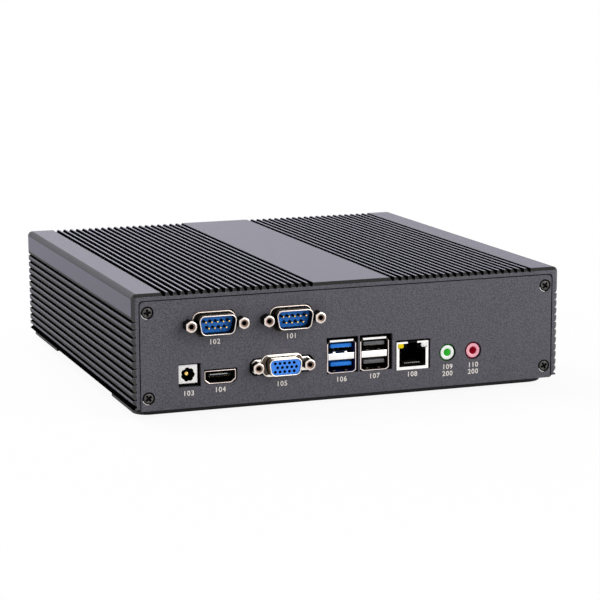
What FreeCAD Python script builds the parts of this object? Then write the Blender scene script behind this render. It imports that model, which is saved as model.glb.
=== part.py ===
import FreeCAD, Part
import math
import os
from FreeCAD import Vector

# Fanless box computer: a finned aluminium hood over a flat base plate, with a screwed panel at each end.
# Millimetres. Z is up, the port panel faces -Y, the button panel faces +Y, and the feet stand on Z = 0.
# The case is drawn about its own middle, then everything moves to centre the whole footprint, ports included.

# Outside of the case
body_width = 212.4
body_length = 213.6
body_height = 54.0
foot_height = 2.0
base_thickness = 1.7

# Hood extrusion
edge_radius = 2.4
lower_edge_radius = 0.4
end_chamfer = 1.4
panel_rim = 3.15
side_wall = 4.6
top_wall = 5.0
screw_boss_radius = 3.2
groove_width = 2.2
groove_depth = 1.75
groove_taper = 0.3
top_groove_count = 21
top_groove_pitch = 3.535
top_first_groove_x = 20.3
side_groove_count = 12
side_groove_pitch = 3.585
side_first_groove_z = 2.5

# End panels
panel_thickness = 2.0
panel_gap = 0.5
panel_corner_radius = 2.0
panel_screw_inset_x = 4.0
panel_screw_drop = 5.55
panel_screw_lift = 5.95
cutout_clearance = 0.3

# Base plate
base_side_inset = 1.5
base_end_inset = 0.6
base_left_radius = 7.0
base_right_radius = 10.0
base_tab_depth = 4.0
base_rear_tab_end = 44.6
base_front_tab_end = 57.0
base_right_tab_start = 19.0
base_screw_end = 25.0
foot_size = 12.0
foot_side = 28.0
foot_end = 24.0

# Screws, studs and pins are drawn with a few flat sides, to keep them light
shank_sides = 6
head_sides = 8
screw_head_radius = 3.05
screw_radius = 1.5
screw_length = 8.0
recess_span = 3.2
recess_width = 0.8
recess_depth = 0.9
thread_clearance = 0.05
hole_clearance = 0.2
pan_head_radius = 2.75
pan_head_height = 2.0

# Places across the case, as shares of the port panel's half width to the right of its middle
serial_share = {"serial_port_1": -0.2959, "serial_port_2": -0.6555}
video_share = -0.3421
digital_share = -0.6322
inlet_share = -0.7784
stack_share = {"data_ports_1": -0.0564, "data_ports_2": 0.1040}
network_share = 0.2906
jack_share = {"audio_jack": 0.4674, "mic_jack": 0.5967}
button_share = -0.7289
indicator_share = {"power_light": -0.5637, "drive_light": -0.4762}
processor_share = -0.3887
memory_share = -0.4373
coin_share = 0.5442

# Mainboard and what stands on it
board_height = 7.9
board_thickness = 1.6
board_length = 170.0
board_left_gap = 5.7
board_right_gap = 15.7
board_gap = 1.0
board_hole_inset = 6.5
board_hole_back = 33.0
standoff_flats = 6.0
processor_size = 30.0
processor_height = 2.0
processor_y = 88.0
heat_block_size = 50.0
thermal_pad_thickness = 1.0
memory_y = 133.0
memory_socket_size = (74.0, 6.5, 5.0)
memory_slot = 3.0
memory_module_size = (67.6, 30.0, 1.2)
memory_module_lift = 2.0
memory_seat = 1.5
coin_y = 48.0
coin_radius = 10.0
coin_height = 3.2
coin_sides = 16
coin_holder_size = (23.0, 21.0, 1.8)

# Storage drive, hung under the hood in a folded bracket
drive_size = (69.85, 100.0, 7.0)
drive_side_gap = 3.6
drive_y = 130.0
drive_drop = 18.0
bracket_sheet = 1.2
bracket_flange = 10.0
bracket_length = 92.0
bracket_screw_end = 12.0
bracket_screw_thread = 3.0
drive_screw_radius = 1.5
drive_screw_head = 2.6
drive_screw_head_height = 1.2
drive_screw_depth = 2.5
drive_screw_spacing = 76.6

# D-shaped connectors: the jackscrew spacing is the connectors' fixed standard
jack_spacing = 24.99
jack_flats = 5.0
jack_bore_radius = 1.25
jack_bore_depth = 4.5
jack_stud_radius = 1.4
jack_stud_length = 6.0
flange_size = (30.8, 12.5)
flange_thickness = 1.0
shell_wall = 0.5
shell_lean = 10.0
shell_radius = 2.6
collar_margin = 1.1
collar_proud = 0.5
pin_radius = 0.5
pin_pitch = 2.77
pin_row_gap = 2.84

# Serial ports: plugs with pins, clamped behind the panel
serial_z = 38.5
serial_shell_size = (17.75, 9.1)
serial_reach = 6.0
serial_insert_recess = 4.6
serial_pin_recess = 0.9
serial_body_size = (19.4, 10.8)
serial_body_depth = 8.0
serial_jack_reach = 5.74
ribbon_width = 12.0
ribbon_thickness = 1.0
ribbon_run = 22.0
header_size = (14.0, 5.0, 8.0)

# Analog video port: a socket on the board, its flange seen through a shaped cut-out
video_z = 16.5
video_shell_size = (16.3, 8.0)
video_reach = 5.4
video_insert_recess = 0.4
video_flange_recess = 0.2
video_ear_height = 7.6
video_ear_slope = 2.0
video_jack_reach = 4.25
video_hole_radius = 0.55
video_hole_depth = 3.0
video_hole_pitch = 2.29
video_row_gap = 1.98
video_body_size = (30.8, 12.5)
video_body_depth = 12.0

# Digital video port
digital_z = 13.5
digital_size = (15.1, 6.2)
digital_corner = (2.1, 1.7)
digital_wall = 0.55
digital_proud = 0.3
digital_cutout_margin = 0.45
digital_cutout_shift = (0.3, 0.15)
digital_depth = 11.0
digital_tongue_size = (11.0, 1.3)
digital_tongue_lift = 0.55
digital_tongue_recess = 1.5
digital_back = 3.0

# Power inlet
inlet_z = 15.45
inlet_face = 9.1
inlet_gaps = (0.1, 1.4, 1.2, 0.6)
inlet_recess = 1.0
inlet_depth = 14.0
inlet_bore_radius = 3.25
inlet_bore_depth = 10.0
inlet_pin_radius = 1.0
inlet_pin_recess = 2.2

# Data ports, two sockets to a stack
stack_size = (14.5, 15.8)
stack_z = 18.5
stack_depth = 17.0
stack_proud = 0.3
stack_wall = 0.7
stack_bar = 3.1
stack_pocket = 11.0
stack_gaps = {"data_ports_1": (0.1, 1.2, 0.2, 1.2), "data_ports_2": (0.1, 1.9, 0.2, 1.3)}
tongue_size = (11.1, 1.9)
tongue_lift = 0.7
tongue_recess = 1.6

# Network port
network_z = 16.3
network_size = (16.2, 13.4)
network_depth = 21.0
network_proud = 0.4
network_shield = 0.5
network_window = (12.9, 10.4)
network_window_lift = 1.7
network_notch = (4.85, 2.6)
network_cavity = (11.7, 7.0)
network_cavity_lift = 2.9
network_cavity_depth = 12.0
network_gaps = (0.1, 1.2, 0.1, 0.85)
contact_count = 8
contact_pitch = 1.02
contact_width = 0.45
contact_height = 0.6
contact_length = 8.0
contact_recess = 2.0
light_size = (3.0, 2.4)
light_depth = 4.0
light_inset = 0.65

# Audio jacks
jack_z = 16.2
jack_collar_radius = 3.65
jack_hole_radius = 4.3
jack_bore = 1.8
jack_socket_depth = 14.0
jack_body_size = (11.0, 12.0)
jack_recess = 0.4

# Front panel: push button and two indicator lights
button_z = 27.4
switch_bezel = 15.0
switch_bezel_height = 1.6
switch_body = 12.0
switch_depth = 20.0
cap_size = 9.0
cap_clearance = 0.35
cap_height = 4.0
cap_proud = 0.4
cap_chamfer = 0.4
button_travel = 1.5
button_floor_gap = 0.6
stem_width = 3.6
stem_clearance = 0.3
stem_length = 6.0
indicator_size = (4.0, 2.0)
indicator_collar = 1.0
indicator_collar_length = 4.0

# Places that follow from the sizes above
half_width = body_width / 2
rear_y = -body_length / 2
front_y = body_length / 2
base_bottom = foot_height
body_bottom = base_bottom + base_thickness
body_top = body_bottom + body_height
ceiling = body_top - top_wall
inner_x = half_width - side_wall
opening_half = half_width - panel_rim
opening_top = body_top - panel_rim
screw_x = opening_half - panel_screw_inset_x
screw_low = body_bottom + panel_screw_lift
screw_high = opening_top - panel_screw_drop
boss_x = screw_x - screw_boss_radius
rear_inner = rear_y + panel_thickness
front_inner = front_y - panel_thickness
video_x = video_share * opening_half
digital_x = digital_share * opening_half
inlet_x = inlet_share * opening_half
network_x = network_share * opening_half
button_x = button_share * opening_half
processor_x = processor_share * opening_half
memory_x = memory_share * opening_half
coin_x = coin_share * opening_half
serial_x = {name: share * opening_half for name, share in serial_share.items()}
stack_x = {name: share * opening_half for name, share in stack_share.items()}
jack_x = {name: share * opening_half for name, share in jack_share.items()}
indicator_x = {name: share * opening_half for name, share in indicator_share.items()}
drive_x = boss_x - drive_side_gap - bracket_flange - bracket_sheet - drive_size[0] / 2
board_left = -boss_x + board_left_gap
board_right = boss_x - board_right_gap
board_bottom = body_bottom + board_height
board_top = board_bottom + board_thickness
board_rear = rear_inner + board_gap
screw_hole_radius = screw_radius + hole_clearance
thread_hole_radius = screw_radius + thread_clearance
stud_hole_radius = jack_stud_radius + hole_clearance
footprint_shift = (serial_reach - switch_bezel_height - cap_proud) / 2

PLACE = {
    "x": lambda along, a, b: Vector(along, a, b),
    "y": lambda along, a, b: Vector(a, along, b),
    "z": lambda along, a, b: Vector(a, b, along),
}


# Shape helpers

def rounded_wire(corners, axis, along):
    """Closed outline through corners (a, b, radius), each corner rounded by its own arc."""
    points = []
    for index, (a, b, radius) in enumerate(corners):
        corner = PLACE[axis](along, a, b)
        before = PLACE[axis](along, *corners[index - 1][:2])
        after = PLACE[axis](along, *corners[(index + 1) % len(corners)][:2])
        to_before = (before - corner).normalize()
        to_after = (after - corner).normalize()
        if radius == 0:
            points.append((corner, None, corner))
            continue
        half_angle = to_before.getAngle(to_after) / 2
        tangent = radius / math.tan(half_angle)
        middle = (to_before + to_after).normalize() * (radius / math.sin(half_angle) - radius)
        points.append((corner + to_before * tangent, corner + middle, corner + to_after * tangent))
    edges = []
    for index, (start, middle, end) in enumerate(points):
        last = points[index - 1][2]
        if last.distanceToPoint(start) > 1e-6:
            edges.append(Part.LineSegment(last, start).toShape())
        if middle is not None:
            edges.append(Part.Arc(start, middle, end).toShape())
    return Part.Wire(edges)


def prism(corners, axis, start, end):
    """Outline extruded along an axis from start to end."""
    face = Part.Face(rounded_wire(corners, axis, start))
    return face.extrude(PLACE[axis](end - start, 0, 0))


def rod(axis, start, end, a, b, radius):
    low = min(start, end)
    return Part.makeCylinder(radius, abs(end - start), PLACE[axis](low, a, b), PLACE[axis](1, 0, 0))


def regular(centre_a, centre_b, radius, sides):
    """Corners of a regular outline with a flat side on the right."""
    turns = [math.tau * (step + 0.5) / sides for step in range(sides)]
    return [(centre_a + radius * math.cos(t), centre_b + radius * math.sin(t), 0) for t in turns]


def thin_rod(axis, start, end, a, b, radius):
    """Screw shank, stud or pin with a few flat sides, or the hole for one."""
    return prism(regular(a, b, radius, shank_sides), axis, start, end)


def screw_cone(axis, start, end, a, b):
    """A countersunk head, or the seat for one, narrowing from start to end."""
    wide = [PLACE[axis](start, *corner[:2]) for corner in regular(a, b, screw_head_radius, head_sides)]
    narrow = [PLACE[axis](end, *corner[:2]) for corner in regular(a, b, screw_radius, head_sides)]
    outlines = [[wide[i - 1], wide[i], narrow[i], narrow[i - 1]] for i in range(head_sides)]
    faces = [Part.Face(Part.makePolygon(points + points[:1])) for points in outlines + [wide, narrow]]
    return Part.Solid(Part.Shell(faces))


def rect(centre_a, centre_b, width, height, radius=0):
    a = width / 2
    b = height / 2
    return [
        (centre_a - a, centre_b - b, radius),
        (centre_a + a, centre_b - b, radius),
        (centre_a + a, centre_b + b, radius),
        (centre_a - a, centre_b + b, radius),
    ]


def gapped(centre_a, centre_b, size, gaps):
    """Outline of a cut-out round a rectangle, with its own gap at the left, right, foot and top."""
    left, right, foot, top = gaps
    width, height = size
    return rect(centre_a + (right - left) / 2, centre_b + (top - foot) / 2, width + left + right, height + foot + top)


def hexagon(centre_a, centre_b, flats):
    return regular(centre_a, centre_b, flats / math.sqrt(3), 6)


def d_outline(centre_x, centre_z, size, margin, radius):
    """Outline of a D-shaped connector, wide side up, grown by a margin."""
    width, height = size
    lean = math.tan(math.radians(shell_lean))
    high = height / 2 + margin
    side_margin = margin / math.cos(math.radians(shell_lean))
    top = width / 2 + side_margin + margin * lean
    low = width / 2 - height * lean + side_margin - margin * lean
    return [
        (centre_x - low, centre_z - high, radius),
        (centre_x + low, centre_z - high, radius),
        (centre_x + top, centre_z + high, radius),
        (centre_x - top, centre_z + high, radius),
    ]


def fuse(shapes):
    return shapes[0].multiFuse(shapes[1:]).removeSplitter()


def group(shapes):
    return Part.makeCompound(shapes)


def case_screw(head_height):
    """Countersunk screw with a cross recess, its head face on Z = 0 and its tip up +Z."""
    head = screw_cone("z", 0, head_height, 0, 0)
    shank = prism(regular(0, 0, screw_radius, head_sides), "z", head_height, screw_length)
    slots = [
        prism(rect(0, 0, recess_span, recess_width), "z", 0, recess_depth),
        prism(rect(0, 0, recess_width, recess_span), "z", 0, recess_depth),
    ]
    return fuse([head, shank]).cut(fuse(slots))


def pan_screw(length, upward):
    """Pan-head screw with its head's seat on Z = 0, pointing down or upward."""
    way = 1 if upward else -1
    head = thin_rod("z", -way * pan_head_height, 0, 0, 0, pan_head_radius)
    return fuse([head, thin_rod("z", 0, way * length, 0, 0, screw_radius)])


def turned_to_y(shape, inward):
    """A piece made along +Z, turned to point along +Y (inward 1) or -Y (inward -1)."""
    copy = shape.copy()
    copy.rotate(Vector(0, 0, 0), Vector(1, 0, 0), -90 * inward)
    return copy


def moved(shape, x, y, z):
    copy = shape.copy()
    copy.translate(Vector(x, y, z))
    return copy


# Hood, base and feet

def groove(centre, at, into):
    """Corners of one groove about its centre line, from the face it is cut in to its narrower floor."""
    half = groove_width / 2
    floor = half - groove_taper
    return [(centre - half, at), (centre - floor, into), (centre + floor, into), (centre + half, at)]


def hood_outline():
    """The hood's section: ribbed sides, two fin fields on top, and a screw block in each inner corner."""
    left = [(-half_width, body_bottom, lower_edge_radius)]
    for index in range(side_groove_count):
        centre = body_bottom + side_first_groove_z + index * side_groove_pitch
        left += [(x, z, 0) for z, x in groove(centre, -half_width, -half_width + groove_depth)]
    left.append((-half_width, body_top, edge_radius))
    right = [(-x, z, radius) for x, z, radius in reversed(left)]
    offsets = [top_first_groove_x + index * top_groove_pitch for index in range(top_groove_count)]
    top = []
    for centre in [-offset for offset in reversed(offsets)] + offsets:
        top += [(x, z, 0) for x, z in groove(centre, body_top, body_top - groove_depth)]
    inside_right = [
        (boss_x, body_bottom, 0),
        (boss_x, screw_low + screw_boss_radius, screw_boss_radius),
        (inner_x, screw_low + screw_boss_radius, 0),
        (inner_x, screw_high - screw_boss_radius, 0),
        (boss_x, screw_high - screw_boss_radius, screw_boss_radius),
        (boss_x, ceiling, 0),
    ]
    inside_left = [(-x, z, radius) for x, z, radius in reversed(inside_right)]
    return left + top + right + inside_right + inside_left


def hood_envelope():
    """The hood's plain outside with both ends chamfered all round."""
    corners = [
        (-half_width, body_bottom, 0),
        (half_width, body_bottom, 0),
        (half_width, body_top, edge_radius),
        (-half_width, body_top, edge_radius),
    ]
    solid = prism(corners, "y", rear_y, front_y)
    ends = [edge for edge in solid.Edges if edge.BoundBox.YLength < 1e-6]
    return solid.makeChamfer(end_chamfer, ends)


def panel_opening(gap):
    """Outline of the recess that an end panel sits in, less a gap."""
    half = opening_half - gap
    top = opening_top - gap
    radius = panel_corner_radius
    return [(-half, body_bottom, 0), (-half, top, radius), (half, top, radius), (half, body_bottom, 0)]


def panel_screw_places():
    return [(x, z) for x in (-screw_x, screw_x) for z in (screw_low, screw_high)]


def base_screw_places():
    y = front_y - base_screw_end
    return [(x, way * y) for x in (-screw_x, screw_x) for way in (-1, 1)]


def bracket_screw_places():
    x = drive_size[0] / 2 + bracket_sheet + bracket_flange / 2
    middle = rear_y + drive_y
    y = bracket_length / 2 - bracket_screw_end
    return [(drive_x + side * x, middle + way * y) for side in (-1, 1) for way in (-1, 1)]


def hood():
    solid = prism(hood_outline(), "y", rear_y, front_y).common(hood_envelope())
    tools = [
        prism(panel_opening(0), "y", rear_y, rear_inner),
        prism(panel_opening(0), "y", front_inner, front_y),
    ]
    for x, z in panel_screw_places():
        thread = regular(x, z, thread_hole_radius, head_sides)
        tools.append(prism(thread, "y", rear_inner, rear_y + screw_length + 1))
        tools.append(prism(thread, "y", front_inner, front_y - screw_length - 1))
    for x, y in base_screw_places():
        thread = regular(x, y, thread_hole_radius, head_sides)
        tools.append(prism(thread, "z", body_bottom, base_bottom + screw_length + 1))
    for x, y in bracket_screw_places():
        tools.append(thin_rod("z", ceiling, ceiling + bracket_screw_thread, x, y, thread_hole_radius))
    return solid.cut(tools)


def base_plate():
    """The plate is wider in tabs round its screws. The left tabs run on to the corners, the right ones don't."""
    outer = half_width - base_side_inset
    inner = outer - base_tab_depth
    end = front_y - base_end_inset
    rear_tab = rear_y + base_rear_tab_end
    front_tab = front_y - base_front_tab_end
    tab_start = end - base_right_tab_start
    corners = [
        (-outer, -end, base_left_radius),
        (inner, -end, base_right_radius),
        (inner, -tab_start, 0),
        (outer, -tab_start, 0),
        (outer, rear_tab, 0),
        (inner, rear_tab, 0),
        (inner, front_tab, 0),
        (outer, front_tab, 0),
        (outer, tab_start, 0),
        (inner, tab_start, 0),
        (inner, end, base_right_radius),
        (-outer, end, base_left_radius),
        (-outer, front_tab, 0),
        (-inner, front_tab, 0),
        (-inner, rear_tab, 0),
        (-outer, rear_tab, 0),
    ]
    plate = prism(corners, "z", base_bottom, body_bottom)
    return plate.cut([screw_cone("z", base_bottom, body_bottom, x, y) for x, y in base_screw_places()])


def rubber_feet():
    x = half_width - foot_side
    y = front_y - foot_end
    places = [(side * x, way * y) for way in (-1, 1) for side in (-1, 1)]
    return group([prism(rect(foot_x, foot_y, foot_size, foot_size), "z", 0, foot_height)
                  for foot_x, foot_y in places])


# End panels and their screws

def d_cutout(centre_x, centre_z, size):
    """Panel tool for a D-shaped connector's collar."""
    corners = d_outline(centre_x, centre_z, size, collar_margin + cutout_clearance, shell_radius)
    return prism(corners, "y", rear_y, rear_inner)


def jack_places(centre_x):
    return [centre_x - jack_spacing / 2, centre_x + jack_spacing / 2]


def rear_panel():
    panel = prism(panel_opening(panel_gap), "y", rear_y, rear_inner)
    tools = [screw_cone("y", rear_y, rear_inner, x, z) for x, z in panel_screw_places()]
    for centre in serial_x.values():
        tools.append(d_cutout(centre, body_bottom + serial_z, serial_shell_size))
        for x in jack_places(centre):
            tools.append(thin_rod("y", rear_y, rear_inner, x, body_bottom + serial_z, stud_hole_radius))
    shift_x, shift_z = digital_cutout_shift
    digital = [(x + shift_x, z + shift_z, radius) for x, z, radius in digital_outline(digital_cutout_margin)]
    openings = [
        ear_outline(cutout_clearance),
        digital,
        gapped(inlet_x, body_bottom + inlet_z, (inlet_face, inlet_face), inlet_gaps),
        gapped(network_x, body_bottom + network_z, network_size, network_gaps),
    ]
    for name, centre in stack_x.items():
        openings.append(gapped(centre, body_bottom + stack_z, stack_size, stack_gaps[name]))
    tools += [prism(corners, "y", rear_y, rear_inner) for corners in openings]
    tools.append(d_cutout(video_x, body_bottom + video_z, video_shell_size))
    for x in jack_x.values():
        tools.append(rod("y", rear_y, rear_inner, x, body_bottom + jack_z, jack_hole_radius))
    return panel.cut(tools)


def front_panel():
    panel = prism(panel_opening(panel_gap), "y", front_inner, front_y)
    tools = [screw_cone("y", front_y, front_inner, x, z) for x, z in panel_screw_places()]
    z = body_bottom + button_z
    tools.append(prism(rect(button_x, z, switch_body, switch_body), "y", front_inner, front_y))
    for x in indicator_x.values():
        tools.append(prism(rect(x, z, *indicator_size), "y", front_inner, front_y))
    return panel.cut(tools)


def case_screws():
    screw = case_screw(panel_thickness)
    inward = turned_to_y(screw, 1)
    outward = turned_to_y(screw, -1)
    upward = case_screw(base_thickness)
    return {
        "rear_panel_screws": group([moved(inward, x, rear_y, z) for x, z in panel_screw_places()]),
        "front_panel_screws": group([moved(outward, x, front_y, z) for x, z in panel_screw_places()]),
        "base_screws": group([moved(upward, x, y, base_bottom) for x, y in base_screw_places()]),
    }


# Mainboard and what stands on it

def board_hole_places():
    sides = (board_left + board_hole_inset, board_right - board_hole_inset)
    ends = (board_rear + board_hole_back, board_rear + board_length - board_hole_inset)
    return [(x, y) for x in sides for y in ends]


def mainboard_pieces():
    middle_x = (board_left + board_right) / 2
    middle_y = board_rear + board_length / 2
    outline = rect(middle_x, middle_y, board_right - board_left, board_length)
    board = prism(outline, "z", board_bottom, board_top)
    holes = [thin_rod("z", board_bottom, board_top, x, y, screw_hole_radius) for x, y in board_hole_places()]
    post_thread = board_height - 1
    posts = []
    for x, y in board_hole_places():
        post = prism(hexagon(x, y, standoff_flats), "z", body_bottom, board_bottom)
        thread = thin_rod("z", board_bottom - post_thread, board_bottom, x, y, thread_hole_radius)
        posts.append(post.cut(thread))
    screw = pan_screw(board_thickness + post_thread - 1, False)
    return {
        "mainboard": board.cut(holes),
        "board_standoffs": group(posts),
        "board_screws": group([moved(screw, x, y, board_top) for x, y in board_hole_places()]),
    }


def cooling_pieces():
    """The processor's heat goes up through a block and a soft pad, clamped against the hood."""
    y = rear_y + processor_y
    top = board_top + processor_height
    pad_bottom = ceiling - thermal_pad_thickness
    block = rect(processor_x, y, heat_block_size, heat_block_size)
    return {
        "processor": prism(rect(processor_x, y, processor_size, processor_size), "z", board_top, top),
        "heat_block": prism(block, "z", top, pad_bottom),
        "thermal_pad": prism(block, "z", pad_bottom, ceiling),
    }


def memory_pieces():
    y = rear_y + memory_y
    width, depth, height = memory_socket_size
    module_width, module_depth, module_height = memory_module_size
    module_bottom = board_top + memory_module_lift
    module_y = y - depth / 2 + memory_slot + module_depth / 2
    module = prism(rect(memory_x, module_y, module_width, module_depth), "z",
                   module_bottom, module_bottom + module_height)
    socket = prism(rect(memory_x, y, width, depth), "z", board_top, board_top + height)
    return {"memory_socket": socket.cut(module), "memory_module": module}


def coin_pieces():
    y = rear_y + coin_y
    width, depth, height = coin_holder_size
    seat = board_top + height
    holder = prism(rect(coin_x, y, width, depth), "z", board_top, seat)
    cell = prism(regular(coin_x, y, coin_radius, coin_sides), "z", seat, seat + coin_height)
    return {"coin_cell_holder": holder, "coin_cell": cell}


# Storage drive and bracket

def drive_screw_places():
    middle = rear_y + drive_y
    return [middle + way * drive_screw_spacing / 2 for way in (-1, 1)]


def drive_pieces():
    width, length, height = drive_size
    middle = rear_y + drive_y
    shelf = ceiling - drive_drop
    screw_z = shelf + height / 2
    half = width / 2
    outer = half + bracket_sheet
    reach = outer + bracket_flange
    under = ceiling - bracket_sheet
    right = [
        (drive_x + outer, shelf - bracket_sheet, 0),
        (drive_x + outer, under, 0),
        (drive_x + reach, under, 0),
        (drive_x + reach, ceiling, 0),
        (drive_x + half, ceiling, 0),
        (drive_x + half, shelf, 0),
    ]
    left = [(2 * drive_x - x, z, radius) for x, z, radius in reversed(right)]
    start = middle - bracket_length / 2
    bracket = prism(right + left, "y", start, start + bracket_length)
    holes = [thin_rod("z", under, ceiling, x, y, screw_hole_radius) for x, y in bracket_screw_places()]
    screw_tools = []
    screws = []
    for y in drive_screw_places():
        for side in (-1, 1):
            inner = drive_x + side * (half - drive_screw_depth)
            face = drive_x + side * outer
            head = face + side * drive_screw_head_height
            shank = thin_rod("x", inner, face, y, screw_z, drive_screw_radius)
            screws.append(fuse([shank, thin_rod("x", face, head, y, screw_z, drive_screw_head)]))
            screw_tools.append(thin_rod("x", inner, face, y, screw_z, drive_screw_radius + thread_clearance))
    drive = prism(rect(drive_x, middle, width, length), "z", shelf, shelf + height)
    hanger = pan_screw(bracket_sheet + bracket_screw_thread - 0.5, True)
    return {
        "storage_drive": drive.cut(screw_tools),
        "drive_bracket": bracket.cut(holes + screw_tools),
        "drive_screws": group(screws),
        "bracket_screws": group([moved(hanger, x, y, under) for x, y in bracket_screw_places()]),
    }


# D-shaped ports

def jackscrews(centre_x, centre_z, seat, reach):
    """Pair of hexagonal jackscrews: seat is the face they bear on, reach the plane of their ends."""
    pieces = []
    for x in jack_places(centre_x):
        body = prism(hexagon(x, centre_z, jack_flats), "y", reach, seat)
        body = body.cut(rod("y", reach, reach + jack_bore_depth, x, centre_z, jack_bore_radius))
        stud = thin_rod("y", seat, seat + jack_stud_length, x, centre_z, jack_stud_radius)
        pieces.append(fuse([body, stud]))
    return group(pieces)


def d_shell(centre_x, centre_z, size, flange_corners, flange_front, collar_front, reach):
    """Pressed-metal front: flange, raised collar and hollow shell."""
    back = flange_front + flange_thickness
    shell = prism(d_outline(centre_x, centre_z, size, 0, shell_radius), "y", reach, back)
    collar = prism(d_outline(centre_x, centre_z, size, collar_margin, shell_radius + collar_margin), "y",
                   collar_front, back)
    metal = fuse([prism(flange_corners, "y", flange_front, back), collar, shell])
    hollow = prism(d_outline(centre_x, centre_z, size, -shell_wall, shell_radius - shell_wall), "y",
                   reach, back)
    holes = [thin_rod("y", flange_front, back, x, centre_z, stud_hole_radius) for x in jack_places(centre_x)]
    return metal.cut([hollow] + holes)


def serial_pin_places(centre_x, centre_z):
    """Five contacts in the upper row and four in the lower, staggered by half a pitch."""
    places = []
    for count, z in ((5, centre_z + pin_row_gap / 2), (4, centre_z - pin_row_gap / 2)):
        first = centre_x - (count - 1) * pin_pitch / 2
        places += [(first + index * pin_pitch, z) for index in range(count)]
    return places


def serial_port(name, centre_x):
    z = body_bottom + serial_z
    reach = rear_y - serial_reach
    flange_back = rear_inner + flange_thickness
    body_back = flange_back + serial_body_depth
    insert_front = reach + serial_insert_recess
    shell = d_shell(centre_x, z, serial_shell_size, rect(centre_x, z, *flange_size),
                    rear_inner, rear_y - collar_proud, reach)
    face = prism(d_outline(centre_x, z, serial_shell_size, -shell_wall, shell_radius - shell_wall), "y",
                 insert_front, flange_back)
    body = prism(rect(centre_x, z, *serial_body_size), "y", flange_back, body_back)
    pins = [thin_rod("y", reach + serial_pin_recess, insert_front, x, pin_z, pin_radius)
            for x, pin_z in serial_pin_places(centre_x, z)]
    header_width, header_depth, header_height = header_size
    header_y = body_back + ribbon_run
    header_top = board_top + header_height
    high = z + ribbon_thickness / 2
    low = z - ribbon_thickness / 2
    far = header_y + ribbon_thickness / 2
    near = header_y - ribbon_thickness / 2
    fold = [(body_back, low, 0), (near, low, 0), (near, header_top, 0),
            (far, header_top, 0), (far, high, 0), (body_back, high, 0)]
    ribbon = prism(fold, "x", centre_x - ribbon_width / 2, centre_x + ribbon_width / 2)
    header = prism(rect(centre_x, header_y, header_width, header_depth), "z", board_top, header_top)
    return {
        f"{name}_shell": shell,
        f"{name}_insert": fuse([face, body]),
        f"{name}_pins": group(pins),
        f"{name}_jackscrews": jackscrews(centre_x, z, rear_y, rear_y - serial_jack_reach),
        f"{name}_ribbon": ribbon,
        f"{name}_header": header,
    }


def ear_outline(margin):
    """The slim flange with sloping ears that shows in the analog video port's cut-out."""
    half = flange_size[0] / 2 + margin
    high = video_ear_height / 2 + margin
    z = body_bottom + video_z
    right = [
        (video_x + half - video_ear_slope, z - high, 0),
        (video_x + half, z - high + video_ear_slope, 0),
        (video_x + half, z + high - video_ear_slope, 0),
        (video_x + half - video_ear_slope, z + high, 0),
    ]
    left = [(2 * video_x - x, corner_z, radius) for x, corner_z, radius in reversed(right)]
    return right + left


def video_hole_places(centre_x, centre_z):
    """Three rows of five holes, the middle row shifted by half a pitch."""
    places = []
    for row, shift in ((1, -0.25), (0, 0.25), (-1, -0.25)):
        first = centre_x + (shift - 2) * video_hole_pitch
        places += [(first + index * video_hole_pitch, centre_z + row * video_row_gap) for index in range(5)]
    return places


def analog_video_port():
    z = body_bottom + video_z
    flange_front = rear_y + video_flange_recess
    flange_back = flange_front + flange_thickness
    body_back = rear_inner + video_body_depth
    reach = rear_y - video_reach
    insert_front = reach + video_insert_recess
    shell = d_shell(video_x, z, video_shell_size, ear_outline(0), flange_front, rear_y - collar_proud, reach)
    face = prism(d_outline(video_x, z, video_shell_size, -shell_wall, shell_radius - shell_wall), "y",
                 insert_front, flange_back)
    neck_width = flange_size[0] - 2 * video_ear_slope
    neck = prism(rect(video_x, z, neck_width, video_ear_height - 1), "y", flange_back, rear_inner)
    width, height = video_body_size
    top = z + height / 2
    body = prism(rect(video_x, (board_top + top) / 2, width, top - board_top), "y", rear_inner, body_back)
    holes = [thin_rod("y", insert_front, insert_front + video_hole_depth, x, hole_z, video_hole_radius)
             for x, hole_z in video_hole_places(video_x, z)]
    studs = [thin_rod("y", flange_back, flange_front + jack_stud_length + 1, x, z, stud_hole_radius)
             for x in jack_places(video_x)]
    return {
        "analog_video_shell": shell,
        "analog_video_insert": fuse([face, neck, body]).cut(holes + studs),
        "analog_video_jackscrews": jackscrews(video_x, z, flange_front, rear_y - video_jack_reach),
    }


# Other ports

def digital_outline(margin):
    """Six-sided outline of the digital video socket, with cut lower corners."""
    width, height = digital_size
    side = width / 2 + margin
    high = height / 2 + margin
    step_x, step_z = digital_corner
    z = body_bottom + digital_z
    right = [
        (digital_x + side - step_x, z - high, 0),
        (digital_x + side, z - high + step_z, 0),
        (digital_x + side, z + high, 0),
    ]
    left = [(2 * digital_x - x, corner_z, radius) for x, corner_z, radius in reversed(right)]
    return right + left


def digital_video_port():
    front = rear_y - digital_proud
    back = front + digital_depth
    z = body_bottom + digital_z
    shell = prism(digital_outline(0), "y", front, back)
    shell = shell.cut(prism(digital_outline(-digital_wall), "y", front, back))
    tongue_width, tongue_height = digital_tongue_size
    tongue = prism(rect(digital_x, z + digital_tongue_lift, tongue_width, tongue_height), "y",
                   front + digital_tongue_recess, back)
    plug = prism(digital_outline(-digital_wall), "y", back - digital_back, back)
    foot_top = z - digital_size[1] / 2
    foot = prism(rect(digital_x, (board_top + foot_top) / 2, tongue_width, foot_top - board_top), "y",
                 rear_inner + board_gap, back)
    return {"digital_video_shell": fuse([shell, foot]), "digital_video_tongue": fuse([tongue, plug])}


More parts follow.
